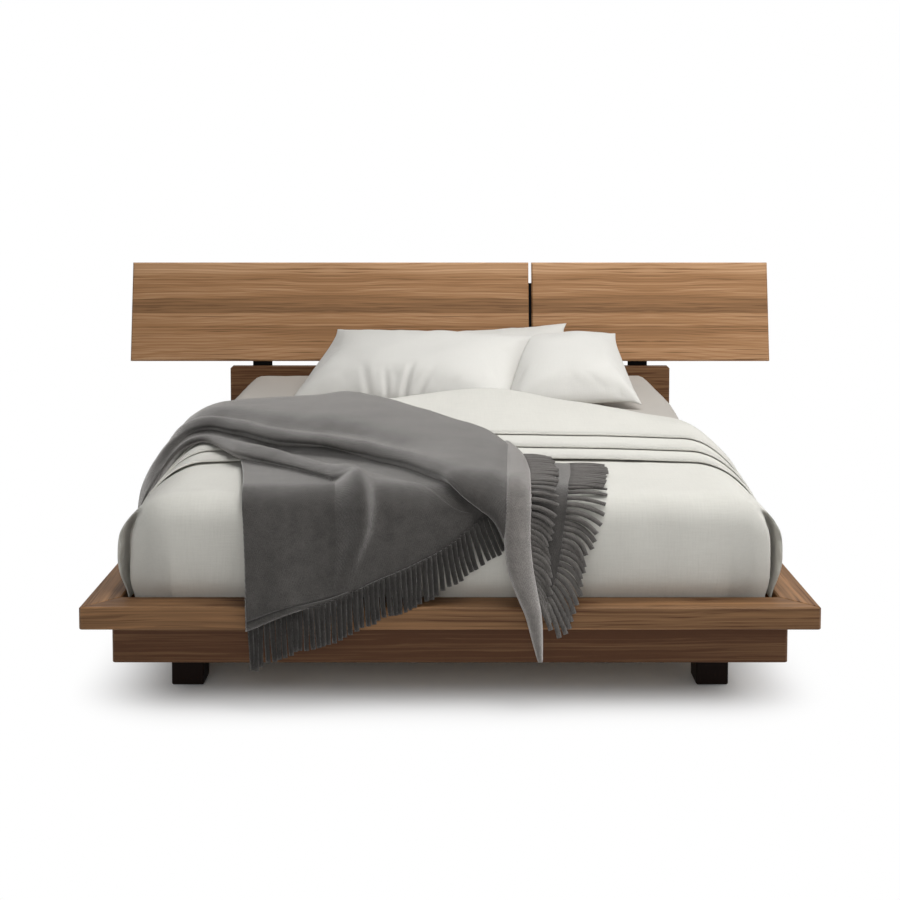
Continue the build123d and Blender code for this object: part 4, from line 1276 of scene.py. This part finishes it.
def floor_material(colour):
    """Pale floor that keeps the shadow under the bed and fades to white around it."""
    finish = Finish("floor_white", {"Roughness": 0.9})
    finish.shader.inputs["Base Color"].default_value = opaque(colour)
    x, y, _ = finish.place()
    side = (abs(x) - SHADE_HALF[0]).maths("MAXIMUM", 0.0)
    end = (abs(y) - SHADE_HALF[1]).maths("MAXIMUM", 0.0)
    away = (side * side + end * end).maths("SQRT")
    fade = finish.node(
        "ShaderNodeMapRange",
        {"interpolation_type": "SMOOTHSTEP"},
        {"Value": away, "From Min": 0.0, "From Max": SHADE_FADE},
    )
    white = finish.node("ShaderNodeEmission", inputs={"Color": (1, 1, 1, 1), "Strength": 1.0})
    share = finish.term(fade) * seen_rays(finish)
    mixed = finish.node(
        "ShaderNodeMixShader", inputs={0: share, 1: finish.shader.outputs[0], 2: white.outputs[0]}
    )
    output = finish.tree.nodes["Material Output"]
    finish.tree.links.new(mixed.outputs[0], output.inputs["Surface"])
    return finish.material


def white_world(scene):
    """White to the eye, a softer light on the bed."""
    world = bpy.data.worlds.new("studio")
    world.use_nodes = True
    scene.world = world
    tree = world.node_tree
    background = tree.nodes["Background"]
    background.inputs["Color"].default_value = (1, 1, 1, 1)
    strength = seen_rays(Nodes(tree)) * (1 - WORLD_LIGHT) + WORLD_LIGHT
    plug(tree, background.inputs["Strength"], strength)


# Operators, panel and registration

class BED_OT_finishes(bpy.types.Operator):
    """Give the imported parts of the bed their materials"""

    bl_idname = "bed.finishes"
    bl_label = "Finishes"

    def execute(self, context):
        build_finishes(context)
        return {"FINISHED"}


class BED_OT_mattress(bpy.types.Operator):
    """Make the mattress"""

    bl_idname = "bed.mattress"
    bl_label = "Mattress"

    def execute(self, context):
        build_mattress(context)
        return {"FINISHED"}


class BED_OT_fitted_sheet(bpy.types.Operator):
    """Draw the fitted sheet over the mattress"""

    bl_idname = "bed.fitted_sheet"
    bl_label = "Fitted sheet"

    def execute(self, context):
        build_fitted_sheet(context)
        return {"FINISHED"}


class BED_OT_coverlet(bpy.types.Operator):
    """Lay the coverlet and fold its cuff back"""

    bl_idname = "bed.coverlet"
    bl_label = "Coverlet"

    def execute(self, context):
        build_coverlet(context)
        build_cuff(context)
        return {"FINISHED"}


class BED_OT_pillows(bpy.types.Operator):
    """Fill the pillows and lay them at the head"""

    bl_idname = "bed.pillows"
    bl_label = "Pillows"

    def execute(self, context):
        build_pillows(context)
        return {"FINISHED"}


class BED_OT_throw(bpy.types.Operator):
    """Lay the throw and its fringe over the foot"""

    bl_idname = "bed.throw"
    bl_label = "Throw"

    def execute(self, context):
        build_throw(context)
        return {"FINISHED"}


class BED_OT_studio(bpy.types.Operator):
    """Set up the floor, the lights and the camera"""

    bl_idname = "bed.studio"
    bl_label = "Studio"

    def execute(self, context):
        build_studio(context)
        return {"FINISHED"}


OPERATORS = (
    BED_OT_finishes, BED_OT_mattress, BED_OT_fitted_sheet, BED_OT_coverlet, BED_OT_pillows, BED_OT_throw,
    BED_OT_studio,
)


class BED_PT_dressing(bpy.types.Panel):
    """Steps and settings of the dressing"""

    bl_idname = "BED_PT_dressing"
    bl_label = "Platform bed"
    bl_space_type = "VIEW_3D"
    bl_region_type = "UI"
    bl_category = "Bed"

    def draw(self, context):
        for operator in OPERATORS:
            self.layout.operator(operator.bl_idname)
        for group in (context.scene.bed_sizes, context.scene.bed_finishes):
            for name in group.bl_rna.properties.keys():
                if name not in ("rna_type", "name"):
                    self.layout.prop(group, name)


CLASSES = (BedFinishes, BedSizes, *OPERATORS, BED_PT_dressing)


def register():
    for cls in CLASSES:
        bpy.utils.register_class(cls)
    bpy.types.Scene.bed_finishes = bpy.props.PointerProperty(type=BedFinishes)
    bpy.types.Scene.bed_sizes = bpy.props.PointerProperty(type=BedSizes)


def unregister():
    del bpy.types.Scene.bed_sizes
    del bpy.types.Scene.bed_finishes
    for cls in reversed(CLASSES):
        bpy.utils.unregister_class(cls)


def main():
    register()
    bpy.ops.bed.finishes()
    bpy.ops.bed.mattress()
    bpy.ops.bed.fitted_sheet()
    bpy.ops.bed.coverlet()
    bpy.ops.bed.pillows()
    bpy.ops.bed.throw()
    bpy.ops.bed.studio()


if __name__ == "__main__":
    main()
